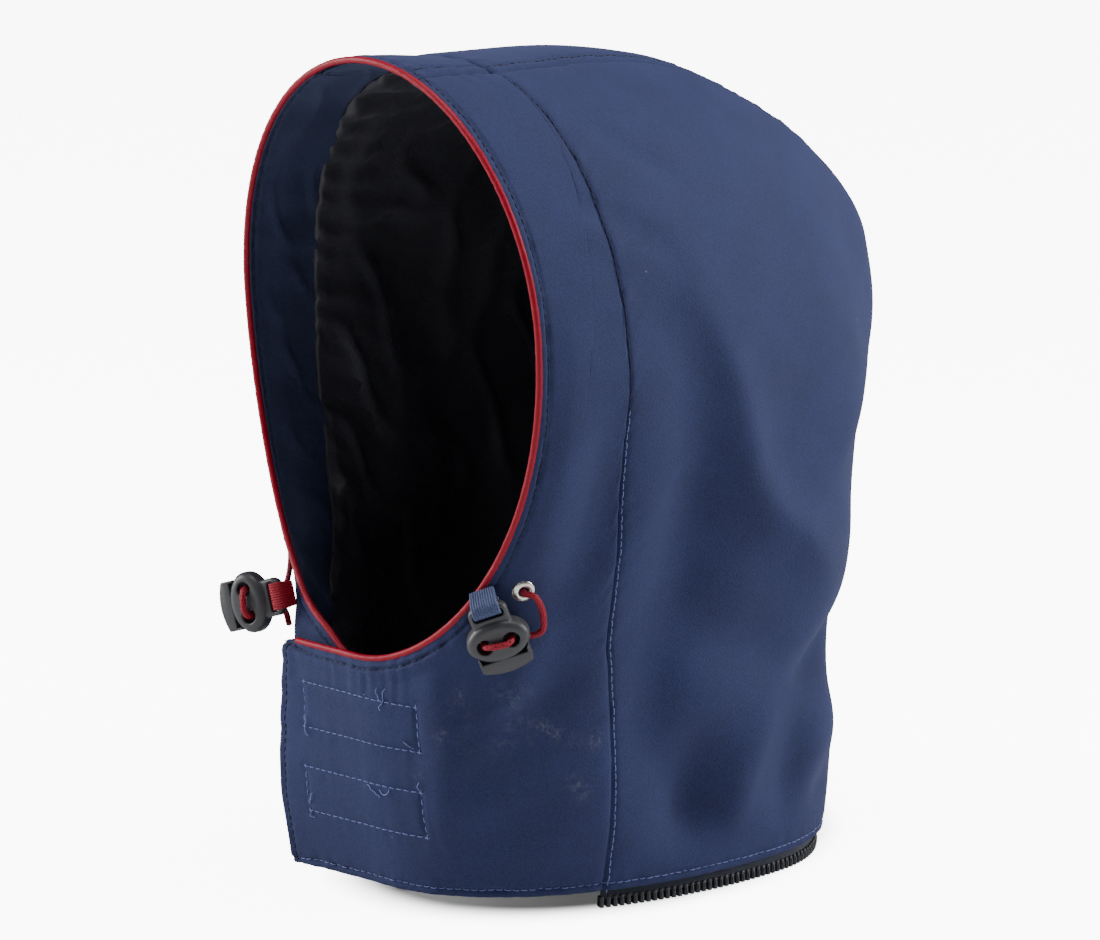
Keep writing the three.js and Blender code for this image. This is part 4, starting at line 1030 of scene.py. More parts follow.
def front_grid(face, edge_loop, reach, across_step, along_step, along_front=250):
    """Points of a front panel: rows from hem to face edge, columns from its back seam to its free end."""
    columns = graded(along_front + reach, 0.7, across_step, 10) * (along_front + reach)
    across = np.where(columns < along_front, 1 - columns / along_front, -(columns - along_front) / reach)
    top = edge_loop(across)
    speed = np.linalg.norm(face(top, across) - face(top - 1e-3, across), axis=-1) / 1e-3
    last = top - CLOTH_INTO_PIPING / speed
    share = np.maximum(0, across)

    def points_at(places):
        on_seam = even_loops(band_seam, np.clip(places / CORNER_PLACE, 0, 1))[:, None]
        beyond = np.clip((places - CORNER_PLACE) / (1 - CORNER_PLACE), 0, 1)[:, None]
        seam_at = np.where(places[:, None] <= CORNER_PLACE, on_seam, CORNER + (last - CORNER) * beyond)
        at = (1 - share) * places[:, None] * last + share * seam_at
        return face(at, np.broadcast_to(across, at.shape))

    trial = np.linspace(0, 1, 900)
    longest = np.linalg.norm(np.diff(points_at(trial), axis=0), axis=-1).max(1)
    run = np.concatenate([[0], np.cumsum(longest)])
    return points_at(np.interp(graded(run[-1], 0.9, along_step, 14) * run[-1], run, trial))


def side_grid(sign, fine, coarse, along_step):
    """Points of a side panel: rows from hem to corner, columns from band seam to crown seam."""
    shares = graded(330, 0.8, along_step, 12, fine_end=False) * 0.9985
    low = even_loops(band_seam, shares)[:, None]
    high = even_loops(crown_seam, shares)[:, None]
    columns = graded(250, fine, coarse, 14)[None]
    around = band_seam(low) + (crown_seam(high) - band_seam(low)) * columns
    return tube(low + (high - low) * columns, sign * around)


def centre_grid(fine, along_step):
    """Points of the crown's gusset from the hem at the back to the front band."""
    shares = graded(330, 0.8, along_step, 12)
    at = even_loops(crown_seam, shares)[:, None]
    across = 2 * graded(2 * GUSSET_HALF, fine, 1.8, 10)[None] - 1
    return tube(at, np.pi + across * (np.pi - crown_seam(at)))


def top_grid():
    """Points of the front band's stretch over the crown."""
    shares = graded(44, 0.7, 1.3, 8)[:, None]
    across = 2 * graded(2 * GUSSET_HALF, 0.7, 1.3, 8)[None] - 1
    speed = np.linalg.norm(tube(1, np.pi) - tube(1 - 1e-3, np.pi)) / 1e-3
    last = 1 - CLOTH_INTO_PIPING / speed
    at = CORNER + (last - CORNER) * shares
    return tube(at, np.pi + across * (np.pi - crown_seam(at)))


PATCHES = {"upper": (68.5, 87.0), "lower": (33.0, 52.0)}
PATCH_SIDES = (-41.0, 26.5)
STITCHED_SIDES = (-33.0, 26.5)


def patch_distance(points, heights, sides):
    """Signed distance from a patch's outline, negative inside, on the flat front."""
    middle = (heights[0] + heights[1]) / 2
    half = (heights[1] - heights[0]) / 2
    over = np.maximum(sides[0] - points[..., 0], points[..., 0] - sides[1])
    up = np.abs(points[..., 2] - middle) - half
    return np.maximum(over, up)


def press_patches(panel):
    """The stitched outlines of the fastening patches sink into the flap, and their middles stand proud."""
    facing_front = smooth(-panel.normals[..., 1], 0.6, 0.85)
    ripple = waves(panel.points * [1, 0, 0.12], 6.0, 31)
    gathers = waves(panel.points * [1, 0, 0.06], 4.2, 37)
    upper = max(high for low, high in PATCHES.values())
    band = smooth(panel.points[..., 2], upper - 3, upper + 2) * (1 - smooth(panel.points[..., 0], 10, 40))
    panel.fine += facing_front * 0.26 * gathers * band
    for heights in PATCHES.values():
        away = patch_distance(panel.points, heights, STITCHED_SIDES)
        panel.fine -= facing_front * 0.5 * np.exp(-(away / 1.1) ** 2) * (1 + 0.3 * ripple)
        panel.fine += facing_front * 0.28 * smooth(-away, 0, 3)
        panel.fine += facing_front * 0.16 * ripple * np.exp(-(away / 6) ** 2)


SCUFFS = (
    (((0.74, 27.4), (0.58, 21.6), (0.445, 16)), 2.4, 0.42),
    (((0.63, 34.4), (0.60, 37)), 7.0, 0.5),
    (((0.50, 38), (0.495, 39.2), (0.425, 42.5), (0.379, 47), (0.341, 51.3)), 3.2, 0.5),
    (((0.26, 48), (0.244, 49.1)), 4.5, 0.3),
    (((0.55, 30), (0.45, 36)), 10.0, 0.25),
)


def scuff_marks(points):
    """How strongly each point is scuffed: soft chalky lines and smudges below the cord lock."""
    total = np.zeros(points.shape[:-1])
    for line, width, strength in SCUFFS:
        at, around = np.array(line, float).T
        share = np.linspace(0, len(at) - 1, 24)
        knots = np.arange(len(at))
        path = tube(np.interp(share, knots, at), np.radians(np.interp(share, knots, around)))
        distance = np.linalg.norm(points[..., None, :] - path, axis=-1).min(-1)
        total = np.maximum(total, strength * np.exp(-(distance / width) ** 2))
    return total


def build_shell():
    """The outer cloth: two fronts, two sides, the gusset and the front band's top."""
    sizes = bpy.context.scene.hood_sizes
    edge = millimetres(sizes.edge_stitch)
    beside = millimetres(sizes.seam_stitch)
    second = millimetres(sizes.crown_stitch)
    panels = {
        "front_panel_left": Panel(front_grid(left_front, left_edge, 48, 1.5, 1.9)),
        "front_panel_right": Panel(front_grid(right_front, right_edge, 30, 2.0, 2.4)),
        "side_panel_left": Panel(side_grid(1, 0.6, 2.4, 1.5)),
        "side_panel_right": Panel(side_grid(-1, 0.7, 3.0, 1.8)),
        "centre_panel": Panel(centre_grid(0.7, 1.6)),
        "front_panel_top": Panel(top_grid()),
    }
    for name, panel in panels.items():
        panel.drape()
        if name.startswith("front_panel") and not name.endswith("top"):
            panel.seam("first")
            panel.tuck("top")
            panel.stitch("top", edge)
            panel.fold_over("bottom")
            panel.stitch("bottom", edge)
            panel.fold_over("last")
        if name == "front_panel_left":
            panel.stitch("last", edge, depth=0.45, pucker=0.05)
            press_patches(panel)
        if name.startswith("side_panel"):
            panel.seam("first")
            panel.stitch("first", beside, depth=0.3, pucker=0.1)
            panel.seam("last")
            panel.fold_over("bottom")
            panel.stitch("bottom", edge)
        if name == "centre_panel":
            for border in ("first", "last"):
                panel.seam(border)
                panel.stitch(border, second)
            panel.seam("top")
            panel.fold_over("bottom")
            panel.stitch("bottom", edge)
        if name == "front_panel_top":
            for border in ("first", "last"):
                panel.seam(border)
                panel.stitch(border, second)
            panel.seam("bottom")
            panel.tuck("top")
            panel.stitch("top", edge)
        BUILT[name] = panel
        piece = cloth_object(f"{name}_cloth", panel, SHELL, Finishes.get("shell"),
                             {"scuff": scuff_marks(panel.points)})
        settle(piece, [name], "navy_shell")


def facing_edge(face, around, width):
    """The loop on which the facing ends, a set width in from the face edge."""
    at = np.linspace(1, 0.3, 141)[:, None]
    point = face(at, around[None])
    run = np.concatenate([np.zeros((1, len(around))),
                          np.cumsum(np.linalg.norm(np.diff(point, axis=0), axis=-1), 0)])
    return np.array([np.interp(width, run[:, k], at[:, 0]) for k in range(len(around))])


def inset_loop(around_at, width, steps=30):
    """Loops that lie a set width in from the face edge, for places round the tube that depend on the loop."""
    angles = np.linspace(0, np.pi, 400)
    table = facing_edge(tube, angles, width)
    at = np.interp(around_at(1.0), angles, table)
    for _ in range(steps):
        at = (at + np.interp(around_at(at), angles, table)) / 2
    return at


def inner_panel(points, depth):
    """A panel that lies this deep below a grid of the outer face."""
    outside = Panel(points)
    inside = Panel(outside.points - outside.normals * depth)
    inside.drape()
    return inside


def build_facings():
    """The navy band inside the face opening, which backs the whole of each overlap at the chin."""
    width = millimetres(bpy.context.scene.hood_sizes.facing_width)
    fronts = {
        "facing_left": (left_front, tube, left_edge, 48),
        "facing_right": (right_front, right_tube, right_edge, 30),
    }
    for name, (face, round_face, edge_loop, reach) in fronts.items():
        columns = graded(250 + reach, 1.2, 2.2, 10) * (250 + reach)
        across = np.where(columns < 250, 1 - columns / 250, -(columns - 250) / reach)
        top = edge_loop(across)
        speed = np.linalg.norm(face(top, across) - face(top - 1e-3, across), axis=-1) / 1e-3
        last = top - CLOTH_INTO_PIPING / speed
        share = np.maximum(across, 0)
        low = inset_loop(lambda loops: share * crown_seam(loops), width) * smooth(across, 0.0, 0.15)
        at = low + (last - low) * graded(60, 0.8, 1.8, 8)[:, None]
        on_tube = round_face(at, share * crown_seam(at))
        build_facing(name, np.where((across > 0)[:, None], on_tube, face(at, np.minimum(across, 0))))
    across = 2 * graded(2 * GUSSET_HALF, 1.2, 1.8, 8)[None] - 1
    low = inset_loop(lambda loops: np.pi - np.abs(across) * (np.pi - crown_seam(loops)), width)
    shares = graded(width, 0.8, 1.8, 8)[:, None]
    at = low + (1 - 0.006 - low) * shares
    build_facing("facing_top", tube(at, np.pi + across * (np.pi - crown_seam(at))))


def build_facing(name, points):
    """One facing, puckered across its width and stitched beside the piping."""
    panel = inner_panel(points, LINING_OUT)
    away = panel.distance("top")
    puckers = 0.55 * (1 + waves(panel.border("top"), 9, 41)) * smooth(away, 1, 12)
    creased = 1 - np.minimum(1.0, 1.8 * np.abs(waves(panel.points, 26, 45)))
    panel.relief -= puckers + (0.95 * (1 + waves(panel.points, 30, 43)) + 1.3 * creased) * smooth(away, 3, 16)
    groove = away - FACING_STITCH
    panel.fine += 0.6 * (1 + 0.4 * waves(panel.border("top"), 3.8, 23)) * np.exp(-(groove / 0.9) ** 2)
    panel.fine -= 0.26 * (1 + waves(panel.border("top"), 5, 29)) * np.exp(-(groove / 5) ** 2)
    BUILT[name] = panel
    piece = cloth_object(f"{name}_cloth", panel, LINING, Finishes.get("facing"), seen_inside=True)
    settle(piece, [name], "navy_facing")


def lining_relief(panel):
    """Gathers below the facing seam and loose folds over the rest, always inwards."""
    away = panel.distance("top")
    ripple = waves(panel.border("top"), 15, 53)
    gathers = 3.4 * (0.6 + ripple) * np.exp(-away / 26) * smooth(away, 0, 5)
    pinches = 1.1 * waves(panel.border("top"), 7, 55) * np.exp(-away / 9)
    creased = 1 - np.minimum(1.0, 1.6 * np.abs(waves(panel.points * (1.0, 1.0, 0.55), 30, 59)))
    loose = 3.2 * (1 + waves(panel.points, 62, 57)) + 3.0 * creased
    lapped = LINING + FACING_SLACK + 0.7 * smooth(away, 0, 1.2)
    return -lapped * np.exp(-away / 14) - np.maximum(0.0, gathers + pinches + loose * smooth(away, 2, 24))


def build_linings():
    """The thin black lining inside the sides, the back and the crown."""
    width = millimetres(bpy.context.scene.hood_sizes.facing_width)
    start = 0.03
    for name, face in (("lining_left", tube), ("lining_right", right_tube)):
        share = graded(420, 1.6, 2.2, 10)[None]
        low = inset_loop(lambda loops: start + (crown_seam(loops) - start) * share, width - LAP)
        rows = graded(300, 1.3, 3.0, 20, fine_start=False)[:, None]
        at = low * rows
        around = start + (crown_seam(at) - start) * share
        panel = inner_panel(face(at, around), LINING_OUT)
        panel.relief += lining_relief(panel)
        piece = cloth_object(f"{name}_cloth", panel, LINING, Finishes.get("lining"), seen_inside=True)
        settle(piece, [name], "black_lining")
    across = 2 * graded(2 * GUSSET_HALF, 1.6, 2.2, 10)[None] - 1
    low = inset_loop(lambda loops: np.pi - np.abs(across) * (np.pi - crown_seam(loops)), width - LAP)
    rows = graded(500, 1.3, 3.0, 20, fine_start=False)[:, None]
    at = low * rows
    panel = inner_panel(tube(at, np.pi + across * (np.pi - crown_seam(at))), LINING_OUT)
    panel.relief += lining_relief(panel)
    piece = cloth_object("lining_centre_cloth", panel, LINING, Finishes.get("lining"), seen_inside=True)
    settle(piece, ["lining_centre"], "black_lining")


def build_patches():
    """Hook tape behind the flap and loop tape on the underlap."""
    for kind, depth, slot in (("hook", HOOK_OUT, "hook_tape"), ("loop", LOOP_OUT, "loop_tape")):
        for name, (low, high) in PATCHES.items():
            heights = np.linspace(low, high, 17)[:, None]
            sides = np.linspace(*PATCH_SIDES, 61)[None]
            loops = np.interp(heights, LOOP["chin_z"](SEAM_PLACES), SEAM_PLACES)
            reach = FLAP_REACH_HEM + (FLAP_REACH_TOP - FLAP_REACH_HEM) * loops
            around = np.arcsin(np.minimum(1, np.abs(sides) / LOOP["half"](loops)))
            across = np.where(sides < 0, sides / reach, around / front_start(loops))
            panel = inner_panel(left_front(np.broadcast_to(loops, across.shape), across), depth)
            panel.fine = 0.08 * waves(panel.points, 2.4, 61)
            piece = cloth_object(f"{kind}_patch_{name}_tape", panel, PATCH, Finishes.get("patch"))
            settle(piece, [f"{kind}_patch_{name}"], slot)


# Piping and stitching

def face_edge_line():
    """The line of the piping with its outward normals, from the flap's free corner to the underlap's end."""
    stretches = []
    left = np.concatenate([np.linspace(-0.93, 0, 60)[:-1], np.linspace(0, 1, 240)])
    right = np.linspace(1, 0, 240)
    over = np.linspace(0.98, -0.98, 50)
    for face, at, across in (
        (left_front, np.ones_like(left), left),
        (lambda loops, share: tube(loops, np.pi - share * (np.pi - crown_seam(1.0))), np.ones_like(over), over),
        (right_front, right_edge(right), right),
    ):
        at = at - 1e-3
        normal = normals_of(face, at, across)
        stretches.append((face(at, across) - normal * LINING_IN / 2, normal))
    points = np.concatenate([points for points, normal in stretches])
    normals = np.concatenate([normal for points, normal in stretches])
    return points, normals


def build_piping():
    """Cord covered in satin cut on the bias, with the small twists of its cover."""
    points, normals = face_edge_line()
    keep = np.concatenate([[True], np.linalg.norm(np.diff(points, axis=0), axis=1) > 0.05])
    points, normals = points[keep], normals[keep]
    run = np.concatenate([[0], np.cumsum(np.linalg.norm(np.diff(points, axis=0), axis=1))])
    places = np.linspace(0, run[-1], round(run[-1] / 1.1) + 1)
    line = np.stack([np.interp(places, run, points[:, axis]) for axis in range(3)], -1)
    ups = unit(np.stack([np.interp(places, run, normals[:, axis]) for axis in range(3)], -1))
    smoothed = line.copy()
    for _ in range(6):
        smoothed[1:-1] = (smoothed[:-2] + 2 * smoothed[1:-1] + smoothed[2:]) / 4
    side, up = frames_along(smoothed, ups)
    angles = np.linspace(0, 2 * np.pi, 16, endpoint=False)
    rings = []
    for k, centre in enumerate(smoothed):
        ends = min(1.0, math.sqrt(max(0.0, 1 - max(0.0, 1 - places[k] / 1.4) ** 2)) + 0.12)
        ring = []
        for angle in angles:
            spot = Vector((math.cos(angle) * 1.4, math.sin(angle) * 1.4, places[k] / 2.6 + angle * 0.5))
            swell = 1 + 0.10 * noise.noise(spot) + 0.05 * noise.noise(spot * 2.7)
            radius = SATIN_RADIUS * swell * ends
            ring.append(centre + side[k] * radius * math.cos(angle) + up[k] * radius * math.sin(angle))
        rings.append(ring)
    piece = sweep_object("piping_satin", rings, Finishes.get("piping"), places)
    settle(piece, ["piping"], "red_piping")


def socket_id(tree, name):
    """The identifier of a modifier input."""
    for item in tree.interface.items_tree:
        if item.item_type == "SOCKET" and item.in_out == "INPUT" and item.name == name:
            return item.identifier
    raise KeyError(name)


def stitch_tree():
    """Geometry Nodes: thread stitches laid along a line, each dipping into the cloth at its ends."""
    name = "Stitch row"
    if name in bpy.data.node_groups:
        return bpy.data.node_groups[name]
    tree = bpy.data.node_groups.new(name, "GeometryNodeTree")
    tree.interface.new_socket("Geometry", in_out="INPUT", socket_type="NodeSocketGeometry")
    for socket in ("Pitch", "Length", "Width"):
        tree.interface.new_socket(socket, in_out="INPUT", socket_type="NodeSocketFloat")
    tree.interface.new_socket("Material", in_out="INPUT", socket_type="NodeSocketMaterial")
    tree.interface.new_socket("Geometry", in_out="OUTPUT", socket_type="NodeSocketGeometry")
    inside, outside = tree.nodes.new("NodeGroupInput"), tree.nodes.new("NodeGroupOutput")
    curve = node(tree, "GeometryNodeMeshToCurve")
    join(tree, inside.outputs["Geometry"], curve.inputs["Mesh"])
    spaced = node(tree, "GeometryNodeResampleCurve", mode="LENGTH")
    join(tree, curve.outputs["Curve"], spaced.inputs["Curve"])
    join(tree, inside.outputs["Pitch"], spaced.inputs["Length"])
    half = node(tree, "ShaderNodeMath", {1: 0.5}, operation="MULTIPLY")
    join(tree, inside.outputs["Length"], half.inputs[0])
    back = node(tree, "ShaderNodeMath", {1: -0.5}, operation="MULTIPLY")
    join(tree, inside.outputs["Length"], back.inputs[0])
    dip = node(tree, "ShaderNodeMath", {1: -0.55}, operation="MULTIPLY")
    join(tree, inside.outputs["Width"], dip.inputs[0])
    rise = node(tree, "ShaderNodeMath", {1: 1.25}, operation="MULTIPLY")
    join(tree, inside.outputs["Width"], rise.inputs[0])
    radius = node(tree, "ShaderNodeMath", {1: 0.5}, operation="MULTIPLY")
    join(tree, inside.outputs["Width"], radius.inputs[0])
    arc = node(tree, "GeometryNodeCurveQuadraticBezier", {"Resolution": 5})
    for socket, over, up in (("Start", back, dip), ("End", half, dip), ("Middle", None, rise)):
        corner = node(tree, "ShaderNodeCombineXYZ")
        if over is not None:
            join(tree, over.outputs[0], corner.inputs["X"])
        join(tree, up.outputs[0], corner.inputs["Z"])
        join(tree, corner.outputs[0], arc.inputs[socket])
    ring = node(tree, "GeometryNodeCurvePrimitiveCircle", {"Resolution": 5}, mode="RADIUS")
    join(tree, radius.outputs[0], ring.inputs["Radius"])
    thread = node(tree, "GeometryNodeCurveToMesh", {"Fill Caps": True})
    join(tree, arc.outputs["Curve"], thread.inputs["Curve"])
    join(tree, ring.outputs["Curve"], thread.inputs["Profile Curve"])
    tangent = node(tree, "GeometryNodeInputTangent")
    upward = node(tree, "GeometryNodeInputNamedAttribute", {"Name": "upward"}, data_type="FLOAT_VECTOR")
    lengthwise = node(tree, "FunctionNodeAlignRotationToVector", axis="X")
    join(tree, tangent.outputs[0], lengthwise.inputs["Vector"])
    square = node(tree, "FunctionNodeAlignRotationToVector", axis="Z", pivot_axis="X")
    join(tree, lengthwise.outputs[0], square.inputs["Rotation"])
    join(tree, upward.outputs["Attribute"], square.inputs["Vector"])
    wiggle = node(tree, "FunctionNodeRandomValue", {"Seed": 3}, data_type="FLOAT_VECTOR")
    wiggle.inputs[0].default_value = (-0.05, -0.06, -0.12)
    wiggle.inputs[1].default_value = (0.05, 0.06, 0.12)
    turned = node(tree, "FunctionNodeEulerToRotation")
    join(tree, wiggle.outputs[0], turned.inputs[0])
    both = node(tree, "FunctionNodeRotateRotation", rotation_space="LOCAL")
    join(tree, square.outputs[0], both.inputs["Rotation"])
    join(tree, turned.outputs[0], both.inputs["Rotate By"])
    placed = node(tree, "GeometryNodeInstanceOnPoints")
    join(tree, spaced.outputs["Curve"], placed.inputs["Points"])
    join(tree, thread.outputs["Mesh"], placed.inputs["Instance"])
    join(tree, both.outputs[0], placed.inputs["Rotation"])
    real = node(tree, "GeometryNodeRealizeInstances")
    join(tree, placed.outputs["Instances"], real.inputs["Geometry"])
    shaded = node(tree, "GeometryNodeSetShadeSmooth")
    join(tree, real.outputs["Geometry"], shaded.inputs["Geometry"])
    coloured = node(tree, "GeometryNodeSetMaterial")
    join(tree, shaded.outputs["Geometry"], coloured.inputs["Geometry"])
    join(tree, inside.outputs["Material"], coloured.inputs["Material"])
    join(tree, coloured.outputs["Geometry"], outside.inputs["Geometry"])
    return tree


def stitched(name, lines, material):
    """One piece of thread stitches along many lines of (points, normals)."""
    sizes = bpy.context.scene.hood_sizes
    points, normals, edges = [], [], []
    for line, upward in lines:
        start = len(points)
        points.extend(metres(line).tolist())
        normals.extend(upward.tolist())
        edges.extend((start + k, start + k + 1) for k in range(len(line) - 1))
    mesh = bpy.data.meshes.new(name)
    mesh.from_pydata(points, edges, [])
    mesh.attributes.new("upward", "FLOAT_VECTOR", "POINT").data.foreach_set("vector", np.ravel(normals))
    source = link(name + "_line", mesh)
    tree = stitch_tree()
    row = source.modifiers.new("Stitches", "NODES")
    row.node_group = tree
    row[socket_id(tree, "Pitch")] = sizes.stitch_pitch
    row[socket_id(tree, "Length")] = sizes.stitch_length
    row[socket_id(tree, "Width")] = sizes.thread_width
    row[socket_id(tree, "Material")] = material
    piece = finished(source, name, material)
    settle(piece, [], "navy_shell")
    return piece


def flap_tree():
    """A search tree over the finished flap."""
    flap = bpy.data.objects["front_panel_left_cloth"]
    return BVHTree.FromObject(flap, bpy.context.evaluated_depsgraph_get())


def patch_outline(tree):
    """Stitch lines of the fastening patches, cast back onto the flap from in front."""
    lines = []
    for low, high in PATCHES.values():
        left, right = STITCHED_SIDES
        corners = [(left, low), (right, low), (right, high), (left, high), (left, low)]
        for (x0, z0), (x1, z1) in zip(corners, corners[1:]):
            count = max(8, round(math.hypot(x1 - x0, z1 - z0)))
            points, normals = [], []
            for share in np.linspace(0.0, 1.0, count):
                x, z = x0 + (x1 - x0) * share, z0 + (z1 - z0) * share
                sag = -0.02 * max(0, x) - 0.004 * (x - left)
                origin = Vector(metres([x, -200, z + sag]).tolist())
                place, normal, index, distance = tree.ray_cast(origin, Vector((0, 1, 0)))
                if place is None:
                    continue
                points.append([place.x / MM, place.y / MM + FOOTPRINT_MIDDLE_Y, place.z / MM])
                normals.append(list(normal if normal.y < 0 else -normal))
            lines.append((np.array(points), np.array(normals)))
    return lines


def build_stitching():
    """All rows of topstitching on the shell, and the row inside the face edge."""
    sizes = bpy.context.scene.hood_sizes
    edge, beside = millimetres(sizes.edge_stitch), millimetres(sizes.seam_stitch)
    second = millimetres(sizes.crown_stitch)
    lift = 0.1
    rows = {
        "stitching_edge": [
            BUILT["front_panel_left"].line("top", edge, lift), BUILT["front_panel_left"].line("last", edge, lift),
            BUILT["front_panel_right"].line("top", edge, lift), BUILT["front_panel_top"].line("top", edge, lift),
        ],
        "stitching_front": [
            BUILT["front_panel_left"].line("bottom", edge, lift), BUILT["front_panel_right"].line("bottom", edge, lift),
        ],
        "stitching_sides": [BUILT[name].line("bottom", edge, lift) for name in ("side_panel_left", "side_panel_right")],
        "stitching_crown": [
            BUILT[name].line(border, second, lift)
            for name in ("centre_panel", "front_panel_top") for border in ("first", "last")
        ] + [BUILT["centre_panel"].line("bottom", edge, lift)],
    }
    rows["stitching_patches"] = patch_outline(flap_tree())
    # Below this height each side seam's stitches are pale, above it darker: painted shade on the upper stitches
    for name in ("side_panel_left", "side_panel_right"):
        points, normals = BUILT[name].line("first", beside, lift)
        low = points[:, 2] < SEAM_SHADE_FROM
        rows["stitching_sides"].append((points[low], normals[low]))
        rows["stitching_crown"].append((points[~low], normals[~low]))
    inner = []
    for name in ("facing_left", "facing_right", "facing_top"):
        points, normals = BUILT[name].line("top", FACING_STITCH, -LINING - 0.1)
        inner.append((points, -normals))
    rows["stitching_facing"] = inner
    # Rows not listed here take the darker thread: painted shade on stitches that lie in shadow
    pale = ("stitching_front", "stitching_sides", "stitching_patches")
    for name, lines in rows.items():
        stitched(name, lines, Finishes.get("thread" if name in pale else "shade_painted_thread"))
    build_tails()


# Loose ends of thread on the flap, as (side, height) of the stitch they hang from, reach and turn
TAIL_COLUMNS = ("side", "height", "reach", "turn")
TAILS = ((12.0, 87.0, 6, 1.2), (12.0, 87.0, 5, -1.9), (11.0, 87.0, 6, 2.6), (-32.5, 68.5, 6, 2.2),
         (-32.5, 68.5, 5, -1.2), (-32.5, 36.0, 7, 1.4), (-32.5, 33.0, 5, -2.2), (2.0, 51.0, 9, -0.2),
         (8.0, 50.0, 8, 0.1), (26.0, 52.0, 5, 1.2), (24.0, 69.0, 4, 2.4))


def tail_line(tree, tail, seed):
    """A loose thread that wanders over the flap, a little clear of the cloth."""
    random = np.random.default_rng(seed)
    place = np.array([tail["side"], tail["height"]], float)
    turn = tail["turn"]
    line = []
    steps = max(6, round(tail["reach"] / 0.8))
    for k in range(steps):
        hit, normal, index, distance = tree.ray_cast(
            Vector(metres([place[0], -200, place[1]]).tolist()), Vector((0, 1, 0)))
        if hit is None:
            break
        lift = 0.15 + 1.1 * math.sin(math.pi * k / steps) * random.uniform(0.5, 1)
        line.append([hit.x / MM, hit.y / MM + FOOTPRINT_MIDDLE_Y - lift, hit.z / MM])
        turn += random.normal(0, 0.42)
        place = place + 0.8 * np.array([math.cos(turn), math.sin(turn)])
    return rounded_route(line, 4)


def build_tails():
    """The thread ends left at the corners of the stitched patches."""
    tree = flap_tree()
    angles = np.linspace(0, 2 * np.pi, 6, endpoint=False)
    points, faces = [], []
    for seed, row in enumerate(TAILS):
        line = tail_line(tree, dict(zip(TAIL_COLUMNS, row)), seed)
        side, up = frames_along(line, np.tile([0.05, -1.0, 0.02], (len(line), 1)))
        rings = line[:, None] + 0.17 * (side[:, None] * np.cos(angles)[:, None] + up[:, None] * np.sin(angles)[:, None])
        start, count = len(points), len(line)
        index = np.arange(count * 6).reshape(count, 6) + start
        beside = np.roll(index, -1, 1)
        faces += np.stack([index[:-1], beside[:-1], beside[1:], index[1:]], -1).reshape(-1, 4).tolist()
        faces += [index[0, ::-1].tolist(), index[-1].tolist()]
        points.extend(rings.reshape(-1, 3))
    uv = np.stack([np.arange(len(points)) % 6 / 6, np.arange(len(points)) // 6 * 0.0002], -1)
    piece = make_object("loose_threads", np.array(points), faces, Finishes.get("thread"), uv)
    settle(piece, [], "navy_shell")


# Zip

def zip_line(steps=600):
    """Points along the hem from band seam to band seam round the back, with the outward direction."""
    start = float(band_seam(0.0))
    around = np.linspace(start, 2 * np.pi - start, steps)
    centre = tube(0.0, around)
    centre[:, 2] = 0
    along = unit(np.gradient(centre, axis=0))
    out = np.stack([along[:, 1], -along[:, 0], np.zeros(steps)], -1)
    return centre - out * ZIP_DEPTH, out


def tooth_template():
    """One moulded tooth: a rounded block on a narrower neck, with a ridge on its face."""
    work = bmesh.new()
    width, height = 1.95, TOOTH_HEIGHT
    made = bmesh.ops.create_cube(work, size=1.0)
    for vertex in made["verts"]:
        taper = 1.0 if vertex.co.z < 0 else 0.82
        vertex.co = Vector((vertex.co.x * width * taper, vertex.co.y * TOOTH_THICKNESS * taper,
                            (vertex.co.z + 0.5) * height))
    bmesh.ops.bevel(work, geom=work.edges[:], offset=0.42, segments=3, profile=0.5, affect="EDGES")
    ridge = bmesh.ops.create_cube(work, size=1.0)
    for vertex in ridge["verts"]:
        vertex.co = Vector((vertex.co.x * 0.9, vertex.co.y * (TOOTH_THICKNESS + 0.35), vertex.co.z * 2.4 + 2.2))
    edges = [edge for edge in work.edges if all(vertex in ridge["verts"] for vertex in edge.verts)]
    bmesh.ops.bevel(work, geom=edges, offset=0.2, segments=2, profile=0.5, affect="EDGES")
    bmesh.ops.scale(work, vec=Vector((MM, MM, MM)), verts=work.verts)
    mesh = bpy.data.meshes.new("tooth")
    work.to_mesh(mesh)
    work.free()
    mesh.shade_smooth()
    return link("tooth_template", mesh, Finishes.get("teeth"))


